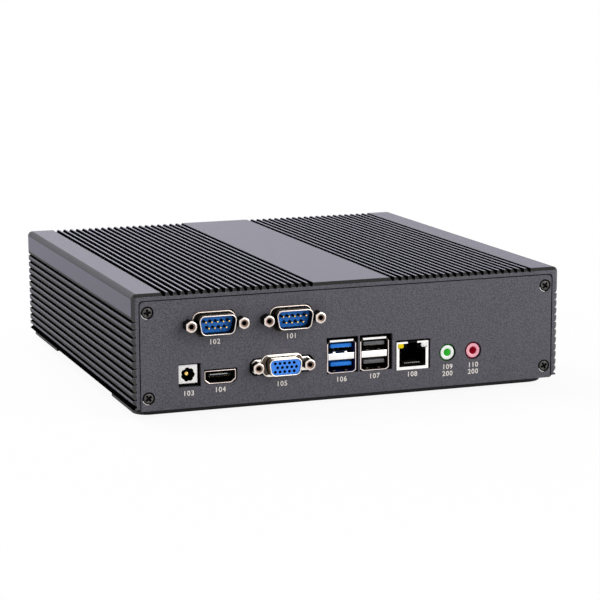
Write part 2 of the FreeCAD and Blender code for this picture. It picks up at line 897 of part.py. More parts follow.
def power_inlet():
    z = body_bottom + inlet_z
    front = rear_y + inlet_recess
    back = front + inlet_depth
    top = z + inlet_face / 2
    body = prism(rect(inlet_x, z, inlet_face, inlet_face), "y", front, back)
    foot = prism(rect(inlet_x, (board_top + top) / 2, inlet_face, top - board_top), "y",
                 rear_inner + board_gap, back)
    floor = front + inlet_bore_depth
    bore = rod("y", front, floor, inlet_x, z, inlet_bore_radius)
    return {
        "power_inlet_body": fuse([body, foot]).cut(bore),
        "power_inlet_pin": thin_rod("y", front + inlet_pin_recess, floor, inlet_x, z, inlet_pin_radius),
    }


def data_stack(name, centre_x):
    width, height = stack_size
    z = body_bottom + stack_z
    front = rear_y - stack_proud
    back = front + stack_depth
    pocket_back = front + stack_pocket
    port_height = (height - stack_bar) / 2 - stack_wall
    port_width = width - 2 * stack_wall
    offset = (stack_bar + port_height) / 2
    can = prism(rect(centre_x, z, width, height), "y", front, back)
    windows = [prism(rect(centre_x, z + way * offset, port_width, port_height), "y", front, pocket_back)
               for way in (-1, 1)]
    core = prism(rect(centre_x, z, port_width, height - 2 * stack_wall), "y", pocket_back, back)
    foot_top = z - height / 2
    foot = prism(rect(centre_x, (board_top + foot_top) / 2, port_width, foot_top - board_top), "y",
                 rear_inner + board_gap, back)
    tongue_width, tongue_height = tongue_size
    tongues = [prism(rect(centre_x, z + way * offset + tongue_lift, tongue_width, tongue_height), "y",
                     front + tongue_recess, pocket_back) for way in (-1, 1)]
    return {
        f"{name}_shell": fuse([can.cut(windows + [core]), foot]),
        f"{name}_tongues": fuse([core] + tongues),
    }


def network_port():
    width, height = network_size
    z = body_bottom + network_z
    low = z - height / 2
    high = z + height / 2
    front = rear_y - network_proud
    back = front + network_depth
    shield_back = front + network_shield
    window_width, window_height = network_window
    notch_width, notch_height = network_notch
    window_z = low + network_window_lift + window_height / 2
    notch = rect(network_x, high - notch_height / 2, notch_width, notch_height)
    light_width, light_height = light_size
    light_z = high - light_inset - light_height / 2
    light_places = [network_x + side * (width / 2 - light_inset - light_width / 2) for side in (-1, 1)]
    cavity_width, cavity_height = network_cavity
    cavity_z = low + network_cavity_lift + cavity_height / 2
    face_tools = [rect(network_x, window_z, window_width, window_height), notch]
    face_tools += [rect(x, light_z, light_width, light_height) for x in light_places]
    face = prism(rect(network_x, z, width, height), "y", front, shield_back)
    face = face.cut([prism(corners, "y", front, shield_back) for corners in face_tools])
    can = prism(rect(network_x, z, width, height), "y", shield_back, back)
    inner = rect(network_x, z, width - 2 * network_shield, height - 2 * network_shield)
    can = can.cut(prism(inner, "y", shield_back, back))
    foot = prism(rect(network_x, (board_top + low) / 2, width - 4, low - board_top), "y",
                 rear_inner + board_gap, back)
    lights = [prism(rect(x, light_z, light_width, light_height), "y", front, front + light_depth)
              for x in light_places]
    cavity = prism(rect(network_x, cavity_z, cavity_width, cavity_height), "y", shield_back,
                   shield_back + network_cavity_depth)
    latch_top = high - network_shield
    latch_bottom = cavity_z + cavity_height / 2
    latch = prism(rect(network_x, (latch_bottom + latch_top) / 2, notch_width, latch_top - latch_bottom), "y",
                  shield_back, shield_back + network_cavity_depth / 2)
    insert = prism(inner, "y", shield_back, back).cut([cavity, latch] + lights)
    contacts = []
    first = network_x - (contact_count - 1) * contact_pitch / 2
    contact_z = cavity_z - cavity_height / 2 + contact_height / 2
    start = shield_back + contact_recess
    for index in range(contact_count):
        corners = rect(first + index * contact_pitch, contact_z, contact_width, contact_height)
        contacts.append(prism(corners, "y", start, start + contact_length))
    return {
        "network_shell": fuse([face, can, foot]),
        "network_insert": insert,
        "network_contacts": group(contacts),
        "network_light_left": lights[0],
        "network_light_right": lights[1],
    }


def audio_jack(centre_x):
    z = body_bottom + jack_z
    front = rear_y + jack_recess
    width, depth = jack_body_size
    back = rear_inner + board_gap + depth
    top = z + width / 2
    collar = rod("y", front, rear_inner + board_gap, centre_x, z, jack_collar_radius)
    body = prism(rect(centre_x, (board_top + top) / 2, width, top - board_top), "y",
                 rear_inner + board_gap, back)
    return fuse([collar, body]).cut(rod("y", front, front + jack_socket_depth, centre_x, z, jack_bore))


# Push button and indicator lights

def power_button():
    """Square push button: the switch snaps into the panel and the cap slides in its bezel."""
    z = body_bottom + button_z
    bezel_face = front_y + switch_bezel_height
    cap_face = bezel_face + cap_proud
    cap_back = cap_face - cap_height
    floor = cap_back - button_travel - button_floor_gap
    stem_end = cap_back - stem_length
    pocket_size = cap_size + 2 * cap_clearance
    stem_hole = stem_width + 2 * stem_clearance
    bezel = prism(rect(button_x, z, switch_bezel, switch_bezel), "y", front_y, bezel_face)
    body = prism(rect(button_x, z, switch_body, switch_body), "y", front_inner - switch_depth, front_y)
    pocket = prism(rect(button_x, z, pocket_size, pocket_size), "y", floor, bezel_face)
    guide_end = stem_end - button_travel - button_floor_gap
    guide = prism(rect(button_x, z, stem_hole, stem_hole), "y", guide_end, floor)
    cap = prism(rect(button_x, z, cap_size, cap_size), "y", cap_back, cap_face)
    rim = [edge for edge in cap.Edges if edge.BoundBox.YMin > cap_face - 1e-6]
    stem = prism(rect(button_x, z, stem_width, stem_width), "y", stem_end, cap_back)
    return {
        "power_switch": fuse([bezel, body]).cut([pocket, guide]),
        "power_button": fuse([cap.makeChamfer(cap_chamfer, rim), stem]),
    }


def indicator_light(centre_x):
    z = body_bottom + button_z
    width, height = indicator_size
    lens = prism(rect(centre_x, z, width, height), "y", front_inner, front_y)
    collar = rect(centre_x, z, width + 2 * indicator_collar, height + 2 * indicator_collar)
    return fuse([lens, prism(collar, "y", front_inner - indicator_collar_length, front_inner)])


def all_pieces():
    pieces = {
        "hood": hood(),
        "base_plate": base_plate(),
        "rear_panel": rear_panel(),
        "front_panel": front_panel(),
    }
    groups = [{"rubber_feet": rubber_feet()}, case_screws(), mainboard_pieces(), cooling_pieces(),
              memory_pieces(), coin_pieces(), drive_pieces(), analog_video_port(), digital_video_port(),
              power_inlet(), network_port(), power_button()]
    groups += [serial_port(name, x) for name, x in serial_x.items()]
    groups += [data_stack(name, x) for name, x in stack_x.items()]
    groups.append({name: audio_jack(x) for name, x in jack_x.items()})
    groups.append({name: indicator_light(x) for name, x in indicator_x.items()})
    for members in groups:
        pieces.update(members)
    return pieces


os.makedirs("parts", exist_ok=True)
for node, shape in all_pieces().items():
    moved(shape, 0, footprint_shift, 0).exportStep(f"parts/{node}.step")
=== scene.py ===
import math

import bmesh
import bpy
from bpy.props import FloatProperty, FloatVectorProperty, IntProperty, PointerProperty
from bpy.types import NodeSocket, Operator, Panel, PropertyGroup
from mathutils import Matrix, Vector


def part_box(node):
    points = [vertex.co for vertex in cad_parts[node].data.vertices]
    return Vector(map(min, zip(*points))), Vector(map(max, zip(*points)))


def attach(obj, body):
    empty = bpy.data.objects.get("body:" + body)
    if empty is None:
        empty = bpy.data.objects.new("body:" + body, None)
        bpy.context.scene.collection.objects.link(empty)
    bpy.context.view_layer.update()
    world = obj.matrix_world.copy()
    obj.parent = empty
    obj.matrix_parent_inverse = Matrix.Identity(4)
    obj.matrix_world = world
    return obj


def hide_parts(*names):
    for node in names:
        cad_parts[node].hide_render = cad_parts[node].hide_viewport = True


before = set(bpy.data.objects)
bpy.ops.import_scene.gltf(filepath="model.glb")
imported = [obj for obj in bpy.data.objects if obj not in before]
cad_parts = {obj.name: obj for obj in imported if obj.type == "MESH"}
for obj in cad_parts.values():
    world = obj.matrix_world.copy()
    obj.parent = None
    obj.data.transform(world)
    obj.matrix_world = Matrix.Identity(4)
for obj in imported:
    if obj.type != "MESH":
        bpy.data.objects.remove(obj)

bl_info = {
    "name": "Fanless Box Computer",
    "version": (1, 0, 0),
    "blender": (4, 5, 0),
    "location": "View3D > Sidebar > Box Computer",
    "description": "Dresses a finned box computer over its packed solids and sets up a studio for it",
    "category": "Object",
}

# Shapes are worked out in millimetres and scaled to metres when a piece is made.
MM = 0.001
CHASSIS = "chassis"
QUARTER = math.pi / 2
TINY = 1e-6


# Settings a user would change

def number(name, description, default, **kind):
    return FloatProperty(name=name, description=description, default=default, **kind)


def length(name, description, default):
    return number(name, description, default * MM, precision=5, unit="LENGTH")


def angle(name, description, degrees):
    return number(name, description, math.radians(degrees), subtype="ANGLE")


def power(name, description, default):
    return number(name, description, default, subtype="POWER")


def count(name, description, default):
    return IntProperty(name=name, description=description, default=default)


def colour(name, description, default):
    return FloatVectorProperty(name=name, description=description, default=default, size=3, min=0, max=1,
                               subtype="COLOR")


class CaseSettings(PropertyGroup):
    """Sizes and colours of the case"""
    edge_radius: length("Edge radius", "Rounding along the hood's two long upper edges", 2.4)
    lower_radius: length("Lower radius", "Rounding along the foot of the hood's sides", 0.35)
    foot_rise: length("Foot gap", "How far the hood's sides stop above the base", 0.75)
    foot_rebate: length("Foot rebate", "How far the gap under the hood's sides reaches in", 2.6)
    end_chamfer: length("End chamfer", "Bevel round each end of the hood", 1.4)
    end_rim: length("End rim", "Width of the hood's rim round an end panel", 3.15)
    side_wall: length("Side wall", "Thickness of the hood's side walls", 4.6)
    top_wall: length("Top wall", "Thickness of the hood's top", 5.0)
    boss_radius: length("Boss radius", "Rounding of the screw blocks in the hood's corners", 3.2)
    panel_radius: length("Panel corner", "Rounding of the end panels' upper corners", 2.0)
    groove_width: length("Groove width", "Width of a groove between two fins", 2.2)
    groove_depth: length("Groove depth", "Depth of a groove between two fins", 1.75)
    groove_taper: length("Groove taper", "How much each groove wall leans in towards its floor", 0.3)
    # The groove shade depth is where the painted shade in a groove reaches its full darkness
    groove_shade: length("Groove shade", "Depth at which a groove's wall has turned dark", 0.1)
    groove_root: length("Groove root", "Rounding where a groove's wall meets its floor", 0.45)
    top_lip: length("Top fin lip", "Rounding of the edges of the fins on top", 0.42)
    side_lip: length("Side fin lip", "Rounding of the upper edge of a fin down the sides", 0.15)
    side_fall: length("Side fin fall", "Height over which a side fin curves in towards its foot", 2.3)
    side_sink: length("Side fin sink", "How far a side fin curves in at its foot", 1.0)
    side_hang: length("Side fin hang", "How far a side fin's foot hangs into the groove below it", 1.6)
    top_groove_count: count("Top grooves", "Grooves in each field on top", 21)
    top_groove_pitch: length("Top pitch", "Spacing of the grooves on top", 3.535)
    top_first_groove: length("First top groove", "First groove's distance from the middle of the top", 20.3)
    side_groove_count: count("Side grooves", "Grooves in each side", 12)
    side_groove_pitch: length("Side pitch", "Spacing of the grooves in a side", 3.585)
    side_first_groove: length("First side groove", "Lowest groove's height above the hood's foot", 2.5)
    screw_head: length("Screw head", "Reach of a case screw's head to its flats", 2.818)
    foot_side: length("Foot side", "Side of a rubber foot", 12.0)
    legend_height: length("Legend height", "Height of the printed numbers", 2.3)
    hood_colour: colour("Hood", "Blasted face of the hood", (0.11, 0.107, 0.14))
    # Near black painted into the grooves between the fins, as painted shade
    groove_shade_colour: colour("Grooves", "Anodised grooves between the fins", (0.002, 0.002, 0.0022))
    # The rolled edges are painted darker than the top and sides, as painted shade
    edge_shade_colour: colour("Long edges", "Rolled edges along the hood", (0.03, 0.0295, 0.038))
    # The end bevels are painted dark as shade, the top bevel darker than the side bevels because of how the
    # light falls on them
    top_bevel_colour: colour("Top bevel", "Bevel across the top of the hood's ends", (0.012, 0.012, 0.0115))
    side_bevel_colour: colour("Side bevel", "Bevel down the sides of the hood's ends", (0.055, 0.055, 0.058))
    panel_colour: colour("Panels", "Sand-textured paint of the end panels", (0.082, 0.0794, 0.095))
    # The base plate's paint is near black, darkened further as painted shade, and its faces turned sideways
    # are painted lighter, as painted light
    base_paint_and_shade_colour: colour("Base", "Painted base plate", (0.011, 0.011, 0.012))
    base_side_light_colour: colour("Base edge", "Painted base plate's long edges", (0.06, 0.06, 0.064))
    rubber_colour: colour("Feet", "Moulded rubber feet", (0.012, 0.012, 0.013))
    legend_colour: colour("Legends", "Printed numbers", (0.86, 0.8, 0.75))


class PortSettings(PropertyGroup):
    """Sizes and colours of the connectors"""
    shell_wall: length("Shell wall", "Metal thickness of a D-shaped shell", 0.5)
    shell_radius: length("Shell corner", "Corner rounding of a D-shaped shell", 2.6)
    collar_margin: length("Collar margin", "How far the raised collar stands round a D-shaped shell", 1.1)
    collar_proud: length("Collar height", "How far the collar stands out of the panel", 0.5)
    jack_flats: length("Jackscrew flats", "Size of a jackscrew across its flats", 5.0)
    jack_bore: length("Jackscrew bore", "Radius of a jackscrew's thread", 1.25)
    pin_radius: length("Pin radius", "Radius of a serial port's pins", 0.5)
    hole_radius: length("Hole radius", "Radius of the analog video socket's holes", 0.66)
    nickel_colour: colour("Nickel", "Plated rims, frames and jackscrew faces", (0.8, 0.71, 0.65))
    # Plated walls take a dark copy of the nickel, as painted shade and painted dark reflections; the rims
    # keep the bright nickel
    wall_shade_colour: colour("Dull nickel", "Plated walls, away from their worn rims", (0.055, 0.046, 0.037))
    gold_colour: colour("Gold", "Plated contacts", (0.9, 0.58, 0.18))
    serial_blue: colour("Serial blue", "Insulator of the serial ports", (0.045, 0.27, 0.95))
    video_blue: colour("Video blue", "Insulator of the analog video port", (0.065, 0.28, 0.97))
    data_blue: colour("Data blue", "Tongues of the faster data ports", (0.018, 0.215, 0.78))
    black_colour: colour("Black plastic", "Dark mouldings", (0.003, 0.003, 0.0032))
    cream_colour: colour("Pale plastic", "Power inlet", (0.95, 0.93, 0.92))
    green_colour: colour("Green", "Sound output", (0.14, 0.72, 0.14))
    mint_colour: colour("Pale green", "Ring of the sound output", (0.95, 0.97, 0.94))
    red_colour: colour("Red", "Microphone input", (0.5, 0.01, 0.04))
    pink_colour: colour("Pink", "Ring of the microphone input", (0.92, 0.4, 0.48))
    amber_colour: colour("Amber", "Lit amber lenses", (0.88, 0.68, 0.0))


class StageSettings(PropertyGroup):
    """Camera and studio"""
    lens: number("Lens", "Focal length in millimetres on a 36 mm sensor", 122.065)
    azimuth: angle("Azimuth", "Turn of the camera about the vertical", -19.9125)
    elevation: angle("Elevation", "How far the camera looks down", 10.1989)
    roll: angle("Roll", "Turn of the camera about its own axis", -0.2815)
    place: FloatVectorProperty(name="Camera place", description="Where the camera stands",
                               default=(-0.339845, -0.970624, 0.215806), size=3, subtype="TRANSLATION")
    ambient: number("Ambient", "Light from all round", 0.2, min=0)
    top_power: power("Top light", "Power of the softbox overhead", 13.0)
    side_power: power("Side light", "Power of the softbox behind the left side", 4.4)
    front_power: power("Front light", "Power of the softbox right of the port panel", 30.0)


# Shape helpers

def mm(value):
    return value / MM


def node_box(name):
    """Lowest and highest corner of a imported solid, in millimetres."""
    low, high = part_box(name)
    return low / MM, high / MM


def node_middle(name):
    """Middle (x, z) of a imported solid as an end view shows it, in millimetres."""
    low, high = node_box(name)
    return (low.x + high.x) / 2, (low.z + high.z) / 2


def mirrored(half):
    """The mirror image of half an outline, from its far end back."""
    return [(-point[0], *point[1:]) for point in reversed(half)]


def moved(outline, a, b):
    return [(a + point[0], b + point[1], *point[2:]) for point in outline]


def quarter_turns(steps):
    return [QUARTER * step / steps for step in range(steps + 1)]


def full_turn(steps):
    return [math.tau * step / steps for step in range(steps)]


def polar_outline(centre, reach, angles):
    """Outline round a centre, whose distance from it is a function of the angle."""
    return [(centre[0] + reach(turn) * math.cos(turn), centre[1] + reach(turn) * math.sin(turn))
            for turn in angles]


def ring(centre, radius, angles):
    return polar_outline(centre, lambda turn: radius, angles)


def circle(centre, radius, steps=48):
    return ring(centre, radius, full_turn(steps))


def arc(centre, radius, start, end, steps):
    """Points along an arc, its angles in degrees."""
    turns = [math.radians(start + (end - start) * step / steps) for step in range(steps + 1)]
    return ring(centre, radius, turns)


def box_reach(turn, across, up):
    """Distance from a rectangle's middle to its edge, by angle."""
    return min(across / max(abs(math.cos(turn)), TINY), up / max(abs(math.sin(turn)), TINY))


def rounded(corners, steps=4):
    """Closed outline through corners (a, b, radius), each turned into an arc."""
    points = []
    for index, (a, b, radius) in enumerate(corners):
        corner = Vector((a, b))
        to_last = (Vector(corners[index - 1][:2]) - corner).normalized()
        to_next = (Vector(corners[(index + 1) % len(corners)][:2]) - corner).normalized()
        half = to_last.angle(to_next) / 2
        centre = corner + (to_last + to_next).normalized() * (radius / math.sin(half))
        start = to_last * (radius / math.tan(half)) + corner - centre
        end = to_next * (radius / math.tan(half)) + corner - centre
        first = math.atan2(start.y, start.x)
        turn = (math.atan2(end.y, end.x) - first + math.pi) % math.tau - math.pi
        points += ring(centre, radius, [first + turn * step / steps for step in range(steps + 1)])
    return points


def box_outline(low, high, inset=0.0, radius=0.3, steps=4):
    """Rounded rectangle between two corners (a, b), drawn in by an inset."""
    round_by = max(radius - inset, 0.01)
    left, bottom = low[0] + inset, low[1] + inset
    right, top = high[0] - inset, high[1] - inset
    corners = ((left, bottom), (right, bottom), (right, top), (left, top))
    return rounded([(a, b, round_by) for a, b in corners], steps)


def at_y(outline, y):
    return [(a, y, b) for a, b in outline]


def at_z(outline, z):
    return [(a, b, z) for a, b in outline]


def mark_at(marks, strip):
    """The mark of a strip, where a cap takes that of the strip beside it."""
    return marks[max(0, min(strip, len(marks) - 1))]


def skin(bm, loops, cap_start=True, cap_end=True, join=False, finish=0):
    """Closed loops of points joined by quads, capped at the ends or joined into a ring.

    A finish is one number, one for each strip, or a function of the strip and the place along it, where the
    caps are strips -1 and one past the last."""
    def pick(strip, index):
        if callable(finish):
            return finish(strip, index)
        return finish if isinstance(finish, int) else mark_at(finish, strip)

    rows = [[bm.verts.new(point) for point in loop] for loop in loops]
    pairs = list(zip(rows, rows[1:]))
    if join:
        pairs.append((rows[-1], rows[0]))
    for strip, (low, high) in enumerate(pairs):
        for index in range(len(low)):
            face = bm.faces.new((low[index - 1], low[index], high[index], high[index - 1]))
            face.material_index = pick(strip, index)
    if cap_start and not join:
        bm.faces.new(rows[0]).material_index = pick(-1, 0)
    if cap_end and not join:
        bm.faces.new(rows[-1]).material_index = pick(len(pairs), 0)
    return rows


def edge_steps(radius, steps=3):
    """Pairs (inset, depth) down a rounded edge, from its face to its side."""
    return [(radius * (1 - math.sin(turn)), radius * (1 - math.cos(turn))) for turn in quarter_turns(steps)]


def slab(bm, low, high, radius=0.2, corner=None, finish=0):
    """Block with rounded edges, whose rounded outline is square to Y."""
    radius = min([radius] + [0.45 * abs(end - start) for start, end in zip(low, high)])
    corner = radius if corner is None else corner
    steps = edge_steps(radius)
    levels = [(inset, low[1] + depth) for inset, depth in steps]
    levels += [(inset, high[1] - depth) for inset, depth in reversed(steps)]
    first, second = (low[0], low[2]), (high[0], high[2])
    skin(bm, [at_y(box_outline(first, second, inset, corner), y) for inset, y in levels], finish=finish)


def board_foot(bm, left, right, bottom, top, back, radius, finish):
    """Block under a connector that carries it on the mainboard."""
    front = node_box("mainboard")[0].y
    slab(bm, (left, front, bottom), (right, back, top), radius, finish=finish)


def turned(bm, centre, profile, steps, finish=0):
    """Solid of revolution about a line along Y through a centre (x, z), from (radius, y) points."""
    skin(bm, [at_y(circle(centre, radius, steps), y) for radius, y in profile], finish=finish)


def rim_levels(front, thickness, steps=6):
    """Pairs (margin, y) round the rounded front edge of a sheet, from its outer side to its inner side."""
    half = thickness / 2
    turns = [math.pi * step / steps for step in range(steps + 1)]
    return [(-half + half * math.cos(turn), front + half - half * math.sin(turn)) for turn in turns]


def holed_face(bm, outer, holes):
    """Flat face with round holes in it, from loops of vertices."""
    edges = []
    for loop in [outer] + holes:
        for index in range(len(loop)):
            ends = (loop[index - 1], loop[index])
            edges.append(bm.edges.get(ends) or bm.edges.new(ends))
    bmesh.ops.triangle_fill(bm, use_beauty=True, use_dissolve=False, edges=edges)


def stamp(bm, part, matrix):
    """Adds a moved copy of a part to a mesh."""
    copy = bpy.data.meshes.new("part")
    part.to_mesh(copy)
    copy.transform(matrix)
    bm.from_mesh(copy)
    bpy.data.meshes.remove(copy)


def add_object(name, content):
    """A new object in the scene, made of a mesh, a lamp or a camera."""
    made = bpy.data.objects.new(name, content)
    bpy.context.scene.collection.objects.link(made)
    return made


def make_piece(name, bm, finishes, slot, stands_for=(), body=CHASSIS, sharp=38, bevel=0.0):
    """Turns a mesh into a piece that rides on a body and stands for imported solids."""
    bmesh.ops.remove_doubles(bm, verts=bm.verts, dist=1e-4)
    bmesh.ops.dissolve_degenerate(bm, edges=bm.edges, dist=1e-5)
    bmesh.ops.recalc_face_normals(bm, faces=bm.faces)
    bmesh.ops.scale(bm, vec=(MM, MM, MM), verts=bm.verts)
    mesh = bpy.data.meshes.new(name)
    bm.to_mesh(mesh)
    bm.free()
    if not mesh.polygons:
        raise RuntimeError(f"{name} came out empty")
    for finish in finishes:
        mesh.materials.append(finish)
    mesh.shade_smooth()
    mesh.set_sharp_from_angle(angle=math.radians(sharp))
    made = add_object(name, mesh)
    if bevel:
        modifier = made.modifiers.new("soft_edges", "BEVEL")
        modifier.width = bevel * MM
        modifier.segments = 2
        modifier.limit_method = "ANGLE"
        modifier.angle_limit = math.radians(40)
        modifier.harden_normals = True
    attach(made, body)
    if stands_for:
        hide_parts(*stands_for)


def dress(name, finish):
    """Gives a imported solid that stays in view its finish."""
    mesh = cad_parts[name].data
    mesh.materials.clear()
    mesh.materials.append(finish)


# Shader helpers

def feed(tree, node, inputs):
    """Gives a node's sockets their values, or links them to outputs."""
    for socket, value in inputs.items():
        if isinstance(value, NodeSocket):
            tree.links.new(value, node.inputs[socket])
        else:
            node.inputs[socket].default_value = value


def add_node(tree, kind, inputs=None, **settings):
    """A node with its settings; an input is a value, or an output to link to."""
    made = tree.nodes.new(kind)
    for key, value in settings.items():
        setattr(made, key, value)
    feed(tree, made, inputs or {})
    return made


def worked_out(tree, operation, *values):
    """A value worked out from one or two others."""
    return add_node(tree, "ShaderNodeMath", dict(enumerate(values)), operation=operation).outputs[0]


def coordinates(tree, kind="Object"):
    return add_node(tree, "ShaderNodeTexCoord").outputs[kind]


def split_vector(tree, vector):
    return add_node(tree, "ShaderNodeSeparateXYZ", {"Vector": vector}).outputs


def ramp(tree, value, low, high, start=0.0, end=1.0):
    """A value carried from one range into another."""
    ends = {"From Min": low, "From Max": high, "To Min": start, "To Max": end}
    return add_node(tree, "ShaderNodeMapRange", {"Value": value, **ends}).outputs["Result"]


def noise(tree, place, scale, detail, roughness):
    inputs = {"Vector": place, "Scale": scale, "Detail": detail, "Roughness": roughness}
    return add_node(tree, "ShaderNodeTexNoise", inputs).outputs["Fac"]


def blend_colours(tree, mask, first, second):
    """First colour where the mask is 0 and second where it is 1."""
    ends = [value if isinstance(value, NodeSocket) else (*value, 1.0) for value in (first, second)]
    inputs = {"Factor": mask, 6: ends[0], 7: ends[1]}
    return add_node(tree, "ShaderNodeMix", inputs, data_type="RGBA").outputs[2]


def tinted(value, factor):
    return tuple(min(1.0, channel * factor) for channel in value)


def bump(tree, height, strength, distance):
    """The normal of a surface raised by a height."""
    inputs = {"Height": height, "Strength": strength, "Distance": distance * MM}
    return add_node(tree, "ShaderNodeBump", inputs).outputs["Normal"]


def new_group(name, inputs, outputs):
    """An empty node group with named sockets, its input node's outputs and its output node."""
    tree = bpy.data.node_groups.new(name, "ShaderNodeTree")
    for way, sockets in (("INPUT", inputs), ("OUTPUT", outputs)):
        for socket, kind in sockets.items():
            tree.interface.new_socket(socket, in_out=way, socket_type=f"NodeSocket{kind}")
    return tree, tree.nodes.new("NodeGroupInput").outputs, tree.nodes.new("NodeGroupOutput")


def grain_group():
    """Fine grain for bumps, and a soft mottle for colour and gloss."""
    tree, given, put = new_group("Surface Grain", {"Grain Scale": "Float", "Mottle Scale": "Float"},
                                 {"Height": "Float", "Mottle": "Float"})
    place = coordinates(tree)
    mottle = noise(tree, place, given["Mottle Scale"], 5.0, 0.65)
    feed(tree, put, {"Height": noise(tree, place, given["Grain Scale"], 3.0, 0.6),
                     "Mottle": ramp(tree, mottle, 0.34, 0.66)})
    return tree


def streak_group():
    """Fine lines drawn out along one direction, as on rolled or drawn metal."""
    tree, given, put = new_group("Drawn Streaks", {"Stretch": "Vector"}, {"Streak": "Float"})
    pulled = add_node(tree, "ShaderNodeVectorMath", {0: coordinates(tree), 1: given["Stretch"]},
                      operation="MULTIPLY")
    lines = noise(tree, pulled.outputs["Vector"], 1.0, 4.0, 0.7)
    feed(tree, put, {"Streak": ramp(tree, lines, 0.3, 0.7)})
    return tree


def surface_grain(tree, grain, mottle):
    """Height and mottle of a surface's grain."""
    group = bpy.data.node_groups.get("Surface Grain") or grain_group()
    scales = {"Grain Scale": grain, "Mottle Scale": mottle}
    placed = add_node(tree, "ShaderNodeGroup", scales, node_tree=group)
    return placed.outputs["Height"], placed.outputs["Mottle"]


def drawn_streaks(tree, stretch):
    group = bpy.data.node_groups.get("Drawn Streaks") or streak_group()
    return add_node(tree, "ShaderNodeGroup", {"Stretch": stretch}, node_tree=group).outputs["Streak"]


# Finishes

# Lines on plated rims and faces, on plated walls, and on pins and contacts
RIM_LINES = (320.0, 1500.0, 320.0)
WALL_LINES = (900.0, 220.0, 900.0)
PIN_LINES = (900.0, 120.0, 900.0)


def made_once(make):
    """Makes a finish the first time that its name is asked for, and gives the same one after that."""
    def give(name, *values, **named):
        return bpy.data.materials.get(f"{name}_finish") or make(name, *values, **named)
    return give


def new_finish(name):
    """A fresh material, its node tree and its shader."""
    made = bpy.data.materials.new(f"{name}_finish")
    made.use_nodes = True
    return made, made.node_tree, made.node_tree.nodes["Principled BSDF"]


@made_once
def grained(name, base, gloss, metal=0.0, grain=1200.0, raised=0.02, mottle=90.0, shade=0.12, polish=0.06,
            specular=0.5, coat=0.0):
    """Finish with a fine grain, whose colour and gloss vary a little over the surface."""
    made, tree, shader = new_finish(name)
    height, soft = surface_grain(tree, grain, mottle)
    feed(tree, shader, {
        "Base Color": blend_colours(tree, soft, tinted(base, 1 - shade), tinted(base, 1 + shade)),
        "Roughness": ramp(tree, soft, 0, 1, gloss - polish, gloss + polish),
        "Normal": bump(tree, height, 0.6, raised),
        "Metallic": metal,
        "Specular IOR Level": specular,
        "Coat Weight": coat,
        "Coat Roughness": 0.15,
    })
    return made


@made_once
def drawn(name, base, gloss, stretch, metal=1.0, shade=0.14, polish=0.1):
    """Metal with lines drawn out along one direction and a faint mottle."""
    made, tree, shader = new_finish(name)
    streak = drawn_streaks(tree, stretch)
    mottle = surface_grain(tree, 2400.0, 260.0)[1]
    toned = blend_colours(tree, mottle, tinted(base, 1 - shade), base)
    feed(tree, shader, {
        "Base Color": blend_colours(tree, streak, toned, tinted(base, 1 + shade / 2)),
        "Roughness": ramp(tree, streak, 0, 1, gloss - polish, gloss + polish),
        "Normal": bump(tree, streak, 0.4, 0.008),
        "Metallic": metal,
    })
    return made


@made_once
def blasted(name, base, groove, dark_at, specular):
    """Blasted, anodised extrusion with painted shade: its colour darkens down a fin's flank to the painted
    groove shade at a depth.
    """
    made, tree, shader = new_finish(name)
    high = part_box("hood")[1]
    place = split_vector(tree, coordinates(tree))
    from_side = worked_out(tree, "SUBTRACT", high.x, worked_out(tree, "ABSOLUTE", place["X"]))
    from_top = worked_out(tree, "SUBTRACT", high.z, place["Z"])
    depth = worked_out(tree, "MINIMUM", from_side, from_top)
    height, mottle = surface_grain(tree, 3200.0, 1300.0)
    face = blend_colours(tree, mottle, tinted(base, 0.88), tinted(base, 1.12))
    pulled = ramp(tree, drawn_streaks(tree, (900.0, 14.0, 900.0)), 0, 1, 0, 0.12)
    face = blend_colours(tree, pulled, face, tinted(base, 1.5))
    feed(tree, shader, {
        "Base Color": blend_colours(tree, ramp(tree, depth, 0, dark_at * MM), face, groove),
        "Roughness": ramp(tree, mottle, 0, 1, 0.46, 0.58),
        "Normal": bump(tree, height, 0.5, 0.02),
        "Specular IOR Level": specular,
    })
    return made


@made_once
def sanded(name, base, grain, raised, specular=0.3, sides=None):
    """Sand-textured paint: fine bumps, speckled light and dark. Sideways faces may take a second colour, as
    painted light.
    """
    made, tree, shader = new_finish(name)
    bumps, mottle = surface_grain(tree, grain, 60.0)
    speckle = blend_colours(tree, ramp(tree, bumps, 0.36, 0.64), tinted(base, 0.6), tinted(base, 1.42))
    tint = blend_colours(tree, ramp(tree, mottle, 0, 1, 0, 0.14), speckle, tinted(base, 1.5))
    # Faces turned sideways take the second colour, as painted light
    if sides is not None:
        sideways = worked_out(tree, "ABSOLUTE", split_vector(tree, coordinates(tree, "Normal"))["X"])
        tint = blend_colours(tree, ramp(tree, sideways, 0.5, 0.8), tint, sides)
    feed(tree, shader, {
        "Base Color": tint,
        "Roughness": ramp(tree, bumps, 0.3, 0.7, 0.66, 0.54),
        "Normal": bump(tree, bumps, 0.7, raised),
        "Specular IOR Level": specular,
    })
    return made


def circuit_board():
    """Solder mask over a maze of raised tracks, with bare pads."""
    made, tree, shader = new_finish("green_board")
    mask, pad = (0.012, 0.07, 0.03), (0.55, 0.5, 0.36)
    place = coordinates(tree)
    bricks = {"Vector": place, "Scale": 260.0, "Mortar Size": 0.06, "Bias": 0.0}
    tracks = add_node(tree, "ShaderNodeTexBrick", bricks)
    cells = add_node(tree, "ShaderNodeTexVoronoi", {"Vector": place, "Scale": 240.0})
    pads = ramp(tree, cells.outputs["Distance"], 0.16, 0.12)
    maze = ramp(tree, tracks.outputs["Fac"], 0.2, 0.8)
    feed(tree, shader, {
        "Base Color": blend_colours(tree, pads, blend_colours(tree, maze, mask, tinted(mask, 1.7)), pad),
        "Roughness": ramp(tree, pads, 0, 1, 0.32, 0.45),
        "Normal": bump(tree, maze, 0.5, 0.04),
    })
    return made


